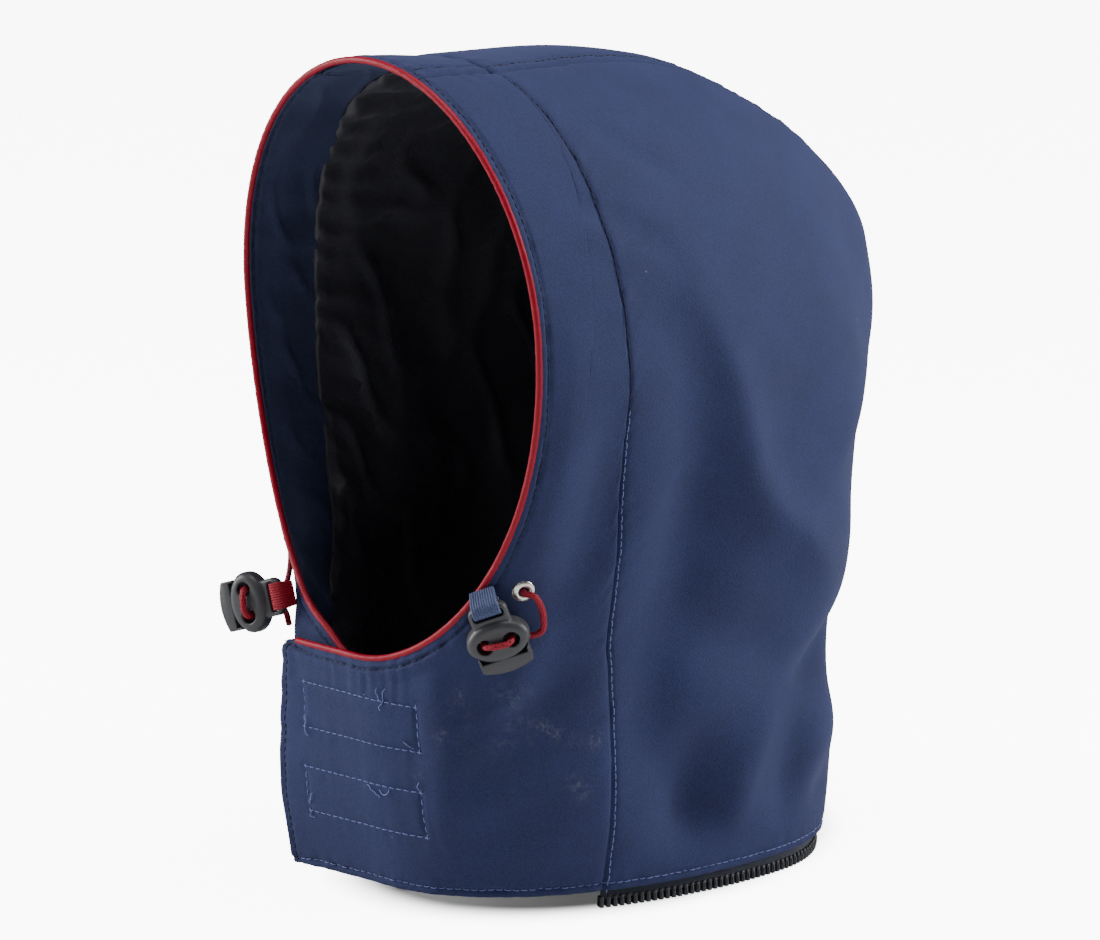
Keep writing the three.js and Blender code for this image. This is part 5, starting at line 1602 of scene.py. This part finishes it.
def teeth_tree():
    """Geometry Nodes: a tooth set down at each pitch along the zip's line."""
    tree = bpy.data.node_groups.new("Zip teeth", "GeometryNodeTree")
    tree.interface.new_socket("Geometry", in_out="INPUT", socket_type="NodeSocketGeometry")
    tree.interface.new_socket("Pitch", in_out="INPUT", socket_type="NodeSocketFloat")
    tree.interface.new_socket("Tooth", in_out="INPUT", socket_type="NodeSocketObject")
    tree.interface.new_socket("Material", in_out="INPUT", socket_type="NodeSocketMaterial")
    tree.interface.new_socket("Geometry", in_out="OUTPUT", socket_type="NodeSocketGeometry")
    inside, outside = tree.nodes.new("NodeGroupInput"), tree.nodes.new("NodeGroupOutput")
    curve = node(tree, "GeometryNodeMeshToCurve")
    join(tree, inside.outputs["Geometry"], curve.inputs["Mesh"])
    spaced = node(tree, "GeometryNodeResampleCurve", mode="LENGTH")
    join(tree, curve.outputs["Curve"], spaced.inputs["Curve"])
    join(tree, inside.outputs["Pitch"], spaced.inputs["Length"])
    template = node(tree, "GeometryNodeObjectInfo")
    join(tree, inside.outputs["Tooth"], template.inputs["Object"])
    tangent = node(tree, "GeometryNodeInputTangent")
    turned = node(tree, "FunctionNodeAlignRotationToVector", axis="X", pivot_axis="Z")
    join(tree, tangent.outputs[0], turned.inputs["Vector"])
    placed = node(tree, "GeometryNodeInstanceOnPoints")
    join(tree, spaced.outputs["Curve"], placed.inputs["Points"])
    join(tree, template.outputs["Geometry"], placed.inputs["Instance"])
    join(tree, turned.outputs[0], placed.inputs["Rotation"])
    real = node(tree, "GeometryNodeRealizeInstances")
    join(tree, placed.outputs["Instances"], real.inputs["Geometry"])
    coloured = node(tree, "GeometryNodeSetMaterial")
    join(tree, real.outputs["Geometry"], coloured.inputs["Geometry"])
    join(tree, inside.outputs["Material"], coloured.inputs["Material"])
    join(tree, coloured.outputs["Geometry"], outside.inputs["Geometry"])
    return tree


def build_zip():
    """Teeth, woven tape, slider and pull."""
    line, out = zip_line()
    mesh = bpy.data.meshes.new("zip_line")
    mesh.from_pydata(metres(line).tolist(), [(k, k + 1) for k in range(len(line) - 1)], [])
    source = link("zip_line", mesh)
    template = tooth_template()
    tree = teeth_tree()
    row = source.modifiers.new("Teeth", "NODES")
    row.node_group = tree
    row[socket_id(tree, "Pitch")] = TOOTH_PITCH * MM
    row[socket_id(tree, "Tooth")] = template
    row[socket_id(tree, "Material")] = Finishes.get("teeth")
    teeth = finished(source, "zip_teeth_row", Finishes.get("teeth"))
    bpy.data.objects.remove(template)
    settle(teeth, ["zip_teeth"], "zip_plastic")
    low = TOOTH_HEIGHT - 1.4
    rings = []
    for centre, outward in zip(line, out):
        half = outward * TAPE_THICKNESS / 2
        heights = np.array([[0, 0, low], [0, 0, TAPE_TOP]])
        bead = [centre + heights[0] - half * 1.3, centre + heights[0] + half * 1.3]
        edge = [centre + heights[0] + [0, 0, 1.6] + half, centre + heights[1] + half]
        rings.append([bead[0], bead[1], edge[0], edge[1], centre + heights[1] - half,
                      centre + heights[0] + [0, 0, 1.6] - half])
    tape = sweep_object("zip_tape_weave", rings, Finishes.get("tape"))
    settle(tape, ["zip_tape"], "zip_tape")
    for name in ("zip_slider", "zip_pull"):
        dress_hard_node(name, Finishes.get("dark_metal"), 0.00035)


def dress_hard_node(name, material, bevel):
    """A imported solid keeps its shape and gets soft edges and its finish."""
    solid = NODES[name]
    solid.data.materials.clear()
    solid.data.materials.append(material)
    weld = solid.modifiers.new("Weld", "WELD")
    weld.merge_threshold = 0.00001
    rounded = solid.modifiers.new("Bevel", "BEVEL")
    rounded.width = bevel
    rounded.segments = 2
    rounded.limit_method = "ANGLE"
    rounded.harden_normals = True
    solid.data.shade_smooth()


# Cord locks, straps, eyelets and drawcords

def lock_frame(lock):
    """The lock's own axes and middle: x from hole to hole, y away from the button, z out of its face."""
    y = -unit(np.array(lock["down"], float))
    x = np.array(lock["across"], float)
    x = unit(x - y * np.dot(x, y))
    return np.stack([x, y, np.cross(x, y)]), np.array(lock["middle"], float)


def in_lock(lock, points):
    """Points of a lock's own frame in the surface's frame."""
    axes, middle = lock_frame(lock)
    return np.asarray(points, float) @ axes + middle


def slab(work, outline, thickness, radius, steps=5):
    """A flat body with a rounded rim from an outline function of inset."""
    rings = []
    angles = np.linspace(-np.pi / 2, np.pi / 2, 2 * steps)
    for angle in angles:
        inset = radius * (1 - math.cos(angle))
        height = math.copysign(thickness / 2 - radius, angle) + radius * math.sin(angle)
        rings.append([work.verts.new((x, y, height)) for x, y in outline(inset)])
    for low, high in zip(rings, rings[1:]):
        for k in range(len(low)):
            after = (k + 1) % len(low)
            work.faces.new((low[k], low[after], high[after], high[k]))
    work.faces.new(rings[0][::-1])
    work.faces.new(rings[-1])


def oval(half_x, half_y, count=56):
    """An oval outline function, shrunk by an inset."""
    def outline(inset):
        return [((half_x - inset) * math.cos(2 * math.pi * k / count),
                 (half_y - inset) * math.sin(2 * math.pi * k / count)) for k in range(count)]
    return outline


def rounded_box(low, high, corner, count=6):
    """A rectangle outline function with round corners, shrunk by an inset."""
    def outline(inset):
        radius = max(0.05, corner - inset)
        points = []
        for sx, sy, turn in ((1, -1, -0.5), (1, 1, 0.0), (-1, 1, 0.5), (-1, -1, 1.0)):
            x = (high[0] - inset - radius) if sx > 0 else (low[0] + inset + radius)
            y = (high[1] - inset - radius) if sy > 0 else (low[1] + inset + radius)
            for k in range(count + 1):
                angle = math.pi * (turn + 0.5 * k / count)
                points.append((x + radius * math.cos(angle), y + radius * math.sin(angle)))
        return points
    return outline


def scratch_solid(build):
    """A hidden solid, in millimetres, for joining and cutting."""
    work = bmesh.new()
    build(work)
    bmesh.ops.recalc_face_normals(work, faces=work.faces)
    mesh = bpy.data.meshes.new("scratch")
    work.to_mesh(mesh)
    work.free()
    return link("scratch", mesh)


def lock_body_mesh():
    """The lock's moulded body, in its own frame in millimetres: oval, lug, cord holes, slot and button pocket."""
    body = scratch_solid(lambda work: slab(work, oval(12.5, 8.7), 9.0, 3.2, 7))
    lug = scratch_solid(lambda work: slab(work, rounded_box((-7.75, 3.0), (7.75, 15.6), 3.4), 4.6, 1.6))
    cuts = [scratch_solid(lambda work: slab(work, rounded_box((-6.1, 10.0), (6.1, 13.2), 1.2), 12, 0.1, 2)),
            scratch_solid(lambda work: slab(work, rounded_box((-10.7, -20.0), (10.7, -3.9), 0.6), 6.2, 0.3, 3))]
    for sign in (-1, 1):
        def hole(work, sign=sign):
            bmesh.ops.create_cone(work, cap_ends=True, segments=40, radius1=3.1, radius2=3.1, depth=20,
                                  matrix=Matrix.Translation((sign * HOLE_OFFSET, 0, 0)))
        cuts.append(scratch_solid(hole))
    for other, operation in [(lug, "UNION")] + [(cut, "DIFFERENCE") for cut in cuts]:
        step = body.modifiers.new(operation, "BOOLEAN")
        step.operation = operation
        step.object = other
        step.solver = "EXACT"
    remesh = body.modifiers.new("Remesh", "REMESH")
    remesh.mode = "VOXEL"
    remesh.voxel_size = 0.3
    relax = body.modifiers.new("Soften", "SMOOTH")
    relax.factor = 0.5
    relax.iterations = 5
    fewer = body.modifiers.new("Fewer", "DECIMATE")
    fewer.ratio = 0.45
    depsgraph = bpy.context.evaluated_depsgraph_get()
    mesh = bpy.data.meshes.new_from_object(body.evaluated_get(depsgraph))
    for scratch in [body, lug] + cuts:
        bpy.data.objects.remove(scratch)
    return mesh


def button_mesh():
    """The lock's button: a curved cap with two ears beside a stem."""
    points = []
    for k in range(25):
        share = k / 24
        x = -10.25 + 20.5 * share
        points.append((x, -11.8 - 8.8 * share * (1 - share)))
    points += [(10.25, -5.6), (9.2, -5.6), (9.2, -8.0), (1.2, -8.0), (1.2, 2.4), (-1.2, 2.4), (-1.2, -8.0),
               (-9.2, -8.0), (-9.2, -5.6), (-10.25, -5.6)]
    work = bmesh.new()
    floor = [work.verts.new((x, y, -2.8)) for x, y in points]
    face = work.faces.new(floor)
    top = bmesh.ops.extrude_face_region(work, geom=[face])
    for element in top["geom"]:
        if isinstance(element, bmesh.types.BMVert):
            element.co.z = 2.8
    bmesh.ops.recalc_face_normals(work, faces=work.faces)
    sharp = [edge for edge in work.edges if edge.calc_face_angle(0) > 0.6]
    bmesh.ops.bevel(work, geom=sharp, offset=0.55, segments=3, profile=0.5, affect="EDGES", clamp_overlap=True)
    mesh = bpy.data.meshes.new("button")
    work.to_mesh(mesh)
    work.free()
    return mesh


def place_in_lock(mesh, lock, name, material):
    """A mesh in a lock's own millimetres put in its place on the hood."""
    axes, middle = lock_frame(lock)
    points = np.empty(3 * len(mesh.vertices))
    mesh.vertices.foreach_get("co", points)
    placed = metres(points.reshape(-1, 3) @ axes + middle)
    made = mesh.copy()
    made.vertices.foreach_set("co", placed.ravel())
    made.update()
    close_mesh(made)
    made.set_sharp_from_angle(angle=math.radians(50))
    return link(name, made, material)


def build_locks():
    """Both cord locks and their buttons."""
    body, button = lock_body_mesh(), button_mesh()
    for side, lock in LOCKS.items():
        piece = place_in_lock(body, lock, f"cord_lock_body_{side}_moulding", Finishes.get("lock"))
        settle(piece, [f"cord_lock_body_{side}"], "lock_plastic")
        piece = place_in_lock(button, lock, f"cord_lock_button_{side}_moulding", Finishes.get("lock"))
        settle(piece, [f"cord_lock_button_{side}"], "lock_plastic", f"button_{side}")


STRAP_WIDTH = 11.0
STRAP_THICKNESS = 1.0
# Stations of each strap as (y, z) in its lock's own frame, from the cloth to its end behind the bar
STRAP_ROUTES = {
    "left": ((18.6, -6.2), (17.6, -2.4), (16.9, 1.2), (15.4, 3.1), (13.4, 3.5), (11.9, 2.6), (11.5, 0),
             (11.9, -2.6), (13.4, -3.4), (15.2, -3.6)),
    "right": ((17.6, -4.7), (17.3, -2.0), (16.8, 0.9), (15.6, 3.0), (13.4, 3.5), (11.9, 2.6), (11.5, 0),
              (11.9, -2.6), (13.4, -3.4), (15.2, -3.6)),
}


def rounded_route(stations, per_step=8):
    """A smooth line through given stations."""
    stations = np.asarray(stations, float)
    knots = np.arange(len(stations))
    share = np.linspace(0, len(stations) - 1, per_step * (len(stations) - 1) + 1)
    return np.stack([curve_through(knots, stations[:, axis])(share) for axis in range(stations.shape[1])], -1)


def build_straps():
    """Ribbed grosgrain straps that hold the locks to the seam beside the piping."""
    ribs = 11
    profile = np.linspace(-1, 1, 6 * ribs + 1)
    swell = 0.5 + 0.16 * np.cos(profile * np.pi * ribs)
    swell *= np.sqrt(np.clip(1.02 - np.abs(profile) ** 14, 0.02, 1))
    for side, lock in LOCKS.items():
        route = rounded_route(STRAP_ROUTES[side])
        along = tangents_of(np.pad(route, ((0, 0), (1, 0))))[:, 1:]
        rings = []
        for k, ((y, z), (dy, dz)) in enumerate(zip(route, along)):
            narrow = 1 - 0.10 * math.exp(-k / 10)
            over = profile * STRAP_WIDTH / 2 * narrow
            upper = [(x, y - dz * half * STRAP_THICKNESS, z + dy * half * STRAP_THICKNESS)
                     for x, half in zip(over, swell)]
            under = [(x, y + dz * half * STRAP_THICKNESS, z - dy * half * STRAP_THICKNESS)
                     for x, half in zip(over, swell)]
            rings.append(in_lock(lock, upper + under[::-1]))
        finish, slot = ("navy_strap", "navy_webbing") if side == "left" else ("red_strap", "red_webbing")
        piece = sweep_object(f"webbing_loop_{side}_strap", rings, Finishes.get(finish))
        settle(piece, [f"webbing_loop_{side}"], slot)


def eyelet_frame(sign):
    """Middle and outward axis of an eyelet."""
    def face(at, around):
        return tube(at, sign * around)
    at, around = np.array([EYELET_AT]), np.array([EYELET_AROUND])
    return face(at, around)[0], normals_of(face, at, around)[0]


def build_eyelets():
    """Plated rings with a rolled inner edge."""
    profile = [(2.0, -1.7), (2.0, 0.6), (2.15, 0.95), (2.5, 1.12), (3.0, 1.1), (3.7, 0.9), (4.3, 0.6),
               (4.6, 0.35), (4.55, 0.22), (3.2, 0.22), (2.9, 0.0), (2.9, -1.7)]
    for side, sign in (("left", 1), ("right", -1)):
        centre, axis = eyelet_frame(sign)
        helper = unit(np.cross(axis, [0, 0, 1]))
        other = np.cross(axis, helper)
        angles = np.linspace(0, 2 * np.pi, 48, endpoint=False)
        rings = [[centre + axis * height + (helper * math.cos(turn) + other * math.sin(turn)) * radius
                  for radius, height in profile] for turn in angles]
        count, sides = len(rings), len(profile)
        index = np.arange(count * sides).reshape(count, sides)
        after, beside = np.roll(index, -1, 0), np.roll(index, -1, 1)
        faces = np.stack([index, beside, np.roll(beside, -1, 0), after], -1).reshape(-1, 4).tolist()
        piece = make_object(f"eyelet_{side}_ring", np.array(rings).reshape(-1, 3), faces, Finishes.get("nickel"))
        settle(piece, [f"eyelet_{side}"], "eyelet_metal")


def cord_stations(side):
    """The drawcord's route points, from inside its eyelet to where it goes back into the cloth."""
    lock = LOCKS[side]
    sign = lock["sign"]
    centre, axis = eyelet_frame(sign)
    face = tube if sign > 0 else (lambda at, around: right_tube(at, around))

    def near(at, degrees, height):
        place = (np.array([at]), np.array([math.radians(degrees)]))
        return face(*place)[0] + normals_of(face, *place)[0] * height

    def local(x, y, z):
        return in_lock(lock, [x, y, z])

    hole = HOLE_OFFSET
    through = [
        local(hole, 0, -5.2), local(hole, 0, 0), local(hole - 0.2, -0.3, 4.4), local(hole - 2.2, -0.4, 6.0),
        local(0, 0, 6.3), local(2.2 - hole, 0.4, 6.0), local(0.2 - hole, 0.3, 4.4), local(-hole, 0, 0),
        local(-hole, 0, -5.2),
    ]
    start = [centre - axis * 0.6, centre + axis * 2.0]
    if side == "left":
        return start + [near(0.89, 49.5, 4.6), near(0.85, 49.2, 4.2), near(0.80, 48.2, 3.6), near(0.76, 46.6, 2.8),
                        near(0.77, 44.6, 2.4)] + through + [near(0.90, 35.5, 2.4)]
    return start + [near(0.885, 50, 5.0), near(0.83, 49, 6.0), near(0.775, 45, 9.0),
                    local(hole + 2.5, -1.5, -9.0)] + through + [
                        local(-hole, -2.0, -9.5), near(0.83, 35, 5.0), near(0.80, 33, 2.2)]


def flowing_curve(stations, per_step=24):
    """A centripetal curve through stations, as the part's source draws it."""
    points = [np.asarray(point, float) for point in stations]
    points = [2 * points[0] - points[1]] + points + [2 * points[-1] - points[-2]]
    line = []
    for a, b, c, d in zip(points, points[1:], points[2:], points[3:]):
        steps = [max(1e-4, np.linalg.norm(q - p)) ** 0.5 for p, q in ((a, b), (b, c), (c, d))]
        start = ((b - a) / steps[0] - (c - a) / (steps[0] + steps[1]) + (c - b) / steps[1]) * steps[1]
        end = ((c - b) / steps[1] - (d - b) / (steps[1] + steps[2]) + (d - c) / steps[2]) * steps[1]
        for t in np.arange(per_step) / per_step:
            line.append((2 * t ** 3 - 3 * t ** 2 + 1) * b + (t ** 3 - 2 * t ** 2 + t) * start
                        + (3 * t ** 2 - 2 * t ** 3) * c + (t ** 3 - t ** 2) * end)
    line.append(points[-2])
    return np.array(line)


def build_cords():
    """Both drawcords: a round braid with a shallow groove where its two strands meet."""
    for side, lock in LOCKS.items():
        line = resampled(flowing_curve(cord_stations(side)), 0.5)
        lengths = np.concatenate([[0], np.cumsum(np.linalg.norm(np.diff(line, axis=0), axis=1))])
        up = unit(np.cross([0, 0, 1.0], tangents_of(line)[0]))
        along = tangents_of(line)
        angles = np.linspace(0, 2 * np.pi, 18, endpoint=False)
        rings = []
        for k, centre in enumerate(line):
            up = unit(up - along[k] * np.dot(up, along[k]))
            across = np.cross(up, along[k])
            braid = 0.05 * np.cos(2 * angles + lengths[k] * 1.9) * np.cos(2 * angles - lengths[k] * 1.9)
            groove = -0.16 * np.exp(-((np.mod(angles, np.pi) - np.pi / 2) / 0.28) ** 2)
            radius = CORD_DIAMETER / 2 * (1.02 + braid + groove)
            rings.append(centre + radius[:, None] * (np.cos(angles)[:, None] * across + np.sin(angles)[:, None] * up))
        piece = sweep_object(f"drawcord_{side}_braid", rings, Finishes.get("cord"), lengths)
        settle(piece, [f"drawcord_{side}"], "red_cord")
        path = metres(line)


# Stage

def build_stage():
    """Pale floor, soft studio lights and the camera at the photograph's angle."""
    scene = bpy.context.scene
    sizes = scene.hood_sizes
    toward = Vector((math.sin(CAMERA_AZIMUTH) * math.cos(CAMERA_ELEVATION),
                     -math.cos(CAMERA_AZIMUTH) * math.cos(CAMERA_ELEVATION), math.sin(CAMERA_ELEVATION)))
    target = Vector(metres(CAMERA_TARGET).tolist())
    lens = bpy.data.cameras.new("Camera")
    lens.sensor_width = SENSOR_WIDTH
    lens.lens = FOCAL_PIXELS / IMAGE_WIDTH * SENSOR_WIDTH
    lens.shift_x = -(MIDDLE_PIXEL[0] - IMAGE_WIDTH / 2) / IMAGE_WIDTH
    lens.shift_y = -(IMAGE_HEIGHT / 2 - MIDDLE_PIXEL[1]) / IMAGE_WIDTH
    lens.clip_end = 60
    camera = bpy.data.objects.new("Camera", lens)
    camera.location = target + toward * CAMERA_DISTANCE * MM
    camera.rotation_euler = toward.to_track_quat("Z", "Y").to_euler()
    scene.collection.objects.link(camera)
    scene.camera = camera
    build_floor(sizes.floor_size)
    lights = (
        ("Left box", -50, 18, 1.9, (0.8, 1.1), 46),
        ("Right box", 136, 24, 1.9, (0.7, 0.9), 36),
        ("Overhead", 90, 82, 2.0, (1.0, 1.0), 38),
        ("Camera fill", 20, 40, 3.2, (1.4, 1.4), 6),
    )
    for name, azimuth, elevation, distance, size, power in lights:
        lamp = bpy.data.lights.new(name, "AREA")
        lamp.shape = "RECTANGLE"
        lamp.size, lamp.size_y = size
        lamp.energy = power
        turn, rise = math.radians(azimuth), math.radians(elevation)
        way = Vector((math.sin(turn) * math.cos(rise), -math.cos(turn) * math.cos(rise), math.sin(rise)))
        placed = bpy.data.objects.new(name, lamp)
        placed.location = target + way * distance
        placed.rotation_euler = way.to_track_quat("Z", "Y").to_euler()
        scene.collection.objects.link(placed)
    world = bpy.data.worlds.new("Studio")
    world.use_nodes = True
    sky = world.node_tree.nodes["Background"]
    sky.inputs["Color"].default_value = (1.0, 1.0, 1.0, 1)
    sky.inputs["Strength"].default_value = 0.08
    scene.world = world


def build_floor(side):
    """The pale floor, glowing to the camera up to white away from the hood and only faintly near it: a painted shade
    round the hood.
    """
    half = side / 2
    mesh = bpy.data.meshes.new("Floor")
    mesh.from_pydata([(-half, -half, 0), (half, -half, 0), (half, half, 0), (-half, half, 0)], [], [(0, 1, 2, 3)])
    made, tree, shader = bare_material("Pale floor", 0.9, specular=0.1)
    shader.inputs["Base Color"].default_value = (0.85, 0.85, 0.855, 1)
    shader.inputs["Emission Color"].default_value = (1.0, 1.0, 1.0, 1)
    oval = node(tree, "ShaderNodeVectorMath", {1: (1.35, 1.0, 1.0)}, operation="MULTIPLY")
    join(tree, object_place(tree), oval.inputs[0])
    rings = node(tree, "ShaderNodeVectorMath", operation="LENGTH")
    join(tree, oval.outputs["Vector"], rings.inputs[0])
    # Glow to the camera, faint near the hood and strong further out: painted shade round the hood
    glow = node(tree, "ShaderNodeMapRange", {
        "From Min": GLOW_START, "From Max": GLOW_FULL, "To Min": 0.1, "To Max": 9.0}, interpolation_type="SMOOTHSTEP")
    join(tree, rings.outputs["Value"], glow.inputs["Value"])
    seen = node(tree, "ShaderNodeLightPath")
    shown = node(tree, "ShaderNodeMath", operation="MULTIPLY")
    join(tree, glow.outputs["Result"], shown.inputs[0])
    join(tree, seen.outputs["Is Camera Ray"], shown.inputs[1])
    join(tree, shown.outputs[0], shader.inputs["Emission Strength"])
    floor = link("Floor", mesh, made)


# Operators

class HOOD_OT_stage(bpy.types.Operator):
    """Floor, lights and camera."""

    bl_idname = "hood.stage"
    bl_label = "Stage"

    def execute(self, context):
        """Builds the stage."""
        build_stage()
        return {"FINISHED"}


class HOOD_OT_drawcords(bpy.types.Operator):
    """Drawcords through the eyelets and locks."""

    bl_idname = "hood.drawcords"
    bl_label = "Drawcords"

    def execute(self, context):
        """Builds both drawcords."""
        build_cords()
        return {"FINISHED"}


class HOOD_OT_shell(bpy.types.Operator):
    """Outer cloth panels with their folds, seams and puckers."""

    bl_idname = "hood.shell"
    bl_label = "Shell panels"

    def execute(self, context):
        """Builds the six outer panels."""
        build_shell()
        return {"FINISHED"}


class HOOD_OT_facings(bpy.types.Operator):
    """Navy facing inside the face opening."""

    bl_idname = "hood.facings"
    bl_label = "Facings"

    def execute(self, context):
        """Builds the three facings."""
        build_facings()
        return {"FINISHED"}


class HOOD_OT_linings(bpy.types.Operator):
    """Thin gathered lining."""

    bl_idname = "hood.linings"
    bl_label = "Linings"

    def execute(self, context):
        """Builds the three lining panels."""
        build_linings()
        return {"FINISHED"}


class HOOD_OT_fastening(bpy.types.Operator):
    """Hook and loop tapes between flap and underlap."""

    bl_idname = "hood.fastening"
    bl_label = "Fastening tapes"

    def execute(self, context):
        """Builds the four tapes."""
        build_patches()
        return {"FINISHED"}


class HOOD_OT_piping(bpy.types.Operator):
    """Satin piping round the face edge."""

    bl_idname = "hood.piping"
    bl_label = "Piping"

    def execute(self, context):
        """Builds the piping."""
        build_piping()
        return {"FINISHED"}


class HOOD_OT_stitching(bpy.types.Operator):
    """Rows of topstitching."""

    bl_idname = "hood.stitching"
    bl_label = "Stitching"

    def execute(self, context):
        """Lays every row of stitches."""
        build_stitching()
        return {"FINISHED"}


class HOOD_OT_zip(bpy.types.Operator):
    """Zip teeth, tape, slider and pull."""

    bl_idname = "hood.zip"
    bl_label = "Zip"

    def execute(self, context):
        """Builds the zip."""
        build_zip()
        return {"FINISHED"}


class HOOD_OT_locks(bpy.types.Operator):
    """Cord locks and their push buttons."""

    bl_idname = "hood.locks"
    bl_label = "Cord locks"

    def execute(self, context):
        """Builds both locks."""
        build_locks()
        return {"FINISHED"}


class HOOD_OT_straps(bpy.types.Operator):
    """Ribbed straps of the cord locks."""

    bl_idname = "hood.straps"
    bl_label = "Straps"

    def execute(self, context):
        """Builds both straps."""
        build_straps()
        return {"FINISHED"}


class HOOD_OT_eyelets(bpy.types.Operator):
    """Plated eyelets of the drawcords."""

    bl_idname = "hood.eyelets"
    bl_label = "Eyelets"

    def execute(self, context):
        """Builds both eyelets."""
        build_eyelets()
        return {"FINISHED"}


OPERATORS = (
    HOOD_OT_stage, HOOD_OT_drawcords, HOOD_OT_shell, HOOD_OT_facings, HOOD_OT_linings, HOOD_OT_fastening,
    HOOD_OT_piping, HOOD_OT_stitching, HOOD_OT_zip, HOOD_OT_locks, HOOD_OT_straps, HOOD_OT_eyelets,
)


class HOOD_PT_panel(bpy.types.Panel):
    """Lists the hood's pieces, sizes and colours."""

    bl_label = "Hood"
    bl_idname = "HOOD_PT_panel"
    bl_space_type = "VIEW_3D"
    bl_region_type = "UI"
    bl_category = "Hood"

    def draw(self, context):
        """Draws the panel."""
        for group in (context.scene.hood_sizes, context.scene.hood_colours):
            for name in group.__annotations__:
                self.layout.prop(group, name)
        for operator in OPERATORS:
            self.layout.operator(operator.bl_idname)


CLASSES = (HoodColours, HoodSizes) + OPERATORS + (HOOD_PT_panel,)


def register():
    """Registers the classes and hangs the property groups on the scene."""
    for item in CLASSES:
        bpy.utils.register_class(item)
    bpy.types.Scene.hood_colours = PointerProperty(type=HoodColours)
    bpy.types.Scene.hood_sizes = PointerProperty(type=HoodSizes)


def unregister():
    """Takes the property groups and the classes away again."""
    del bpy.types.Scene.hood_sizes
    del bpy.types.Scene.hood_colours
    for item in reversed(CLASSES):
        bpy.utils.unregister_class(item)


def main():
    """Builds the whole hood."""
    register()
    bpy.ops.hood.stage()
    bpy.ops.hood.drawcords()
    bpy.ops.hood.shell()
    bpy.ops.hood.facings()
    bpy.ops.hood.linings()
    bpy.ops.hood.fastening()
    bpy.ops.hood.piping()
    bpy.ops.hood.stitching()
    bpy.ops.hood.zip()
    bpy.ops.hood.locks()
    bpy.ops.hood.straps()
    bpy.ops.hood.eyelets()


if __name__ == "__main__":
    main()
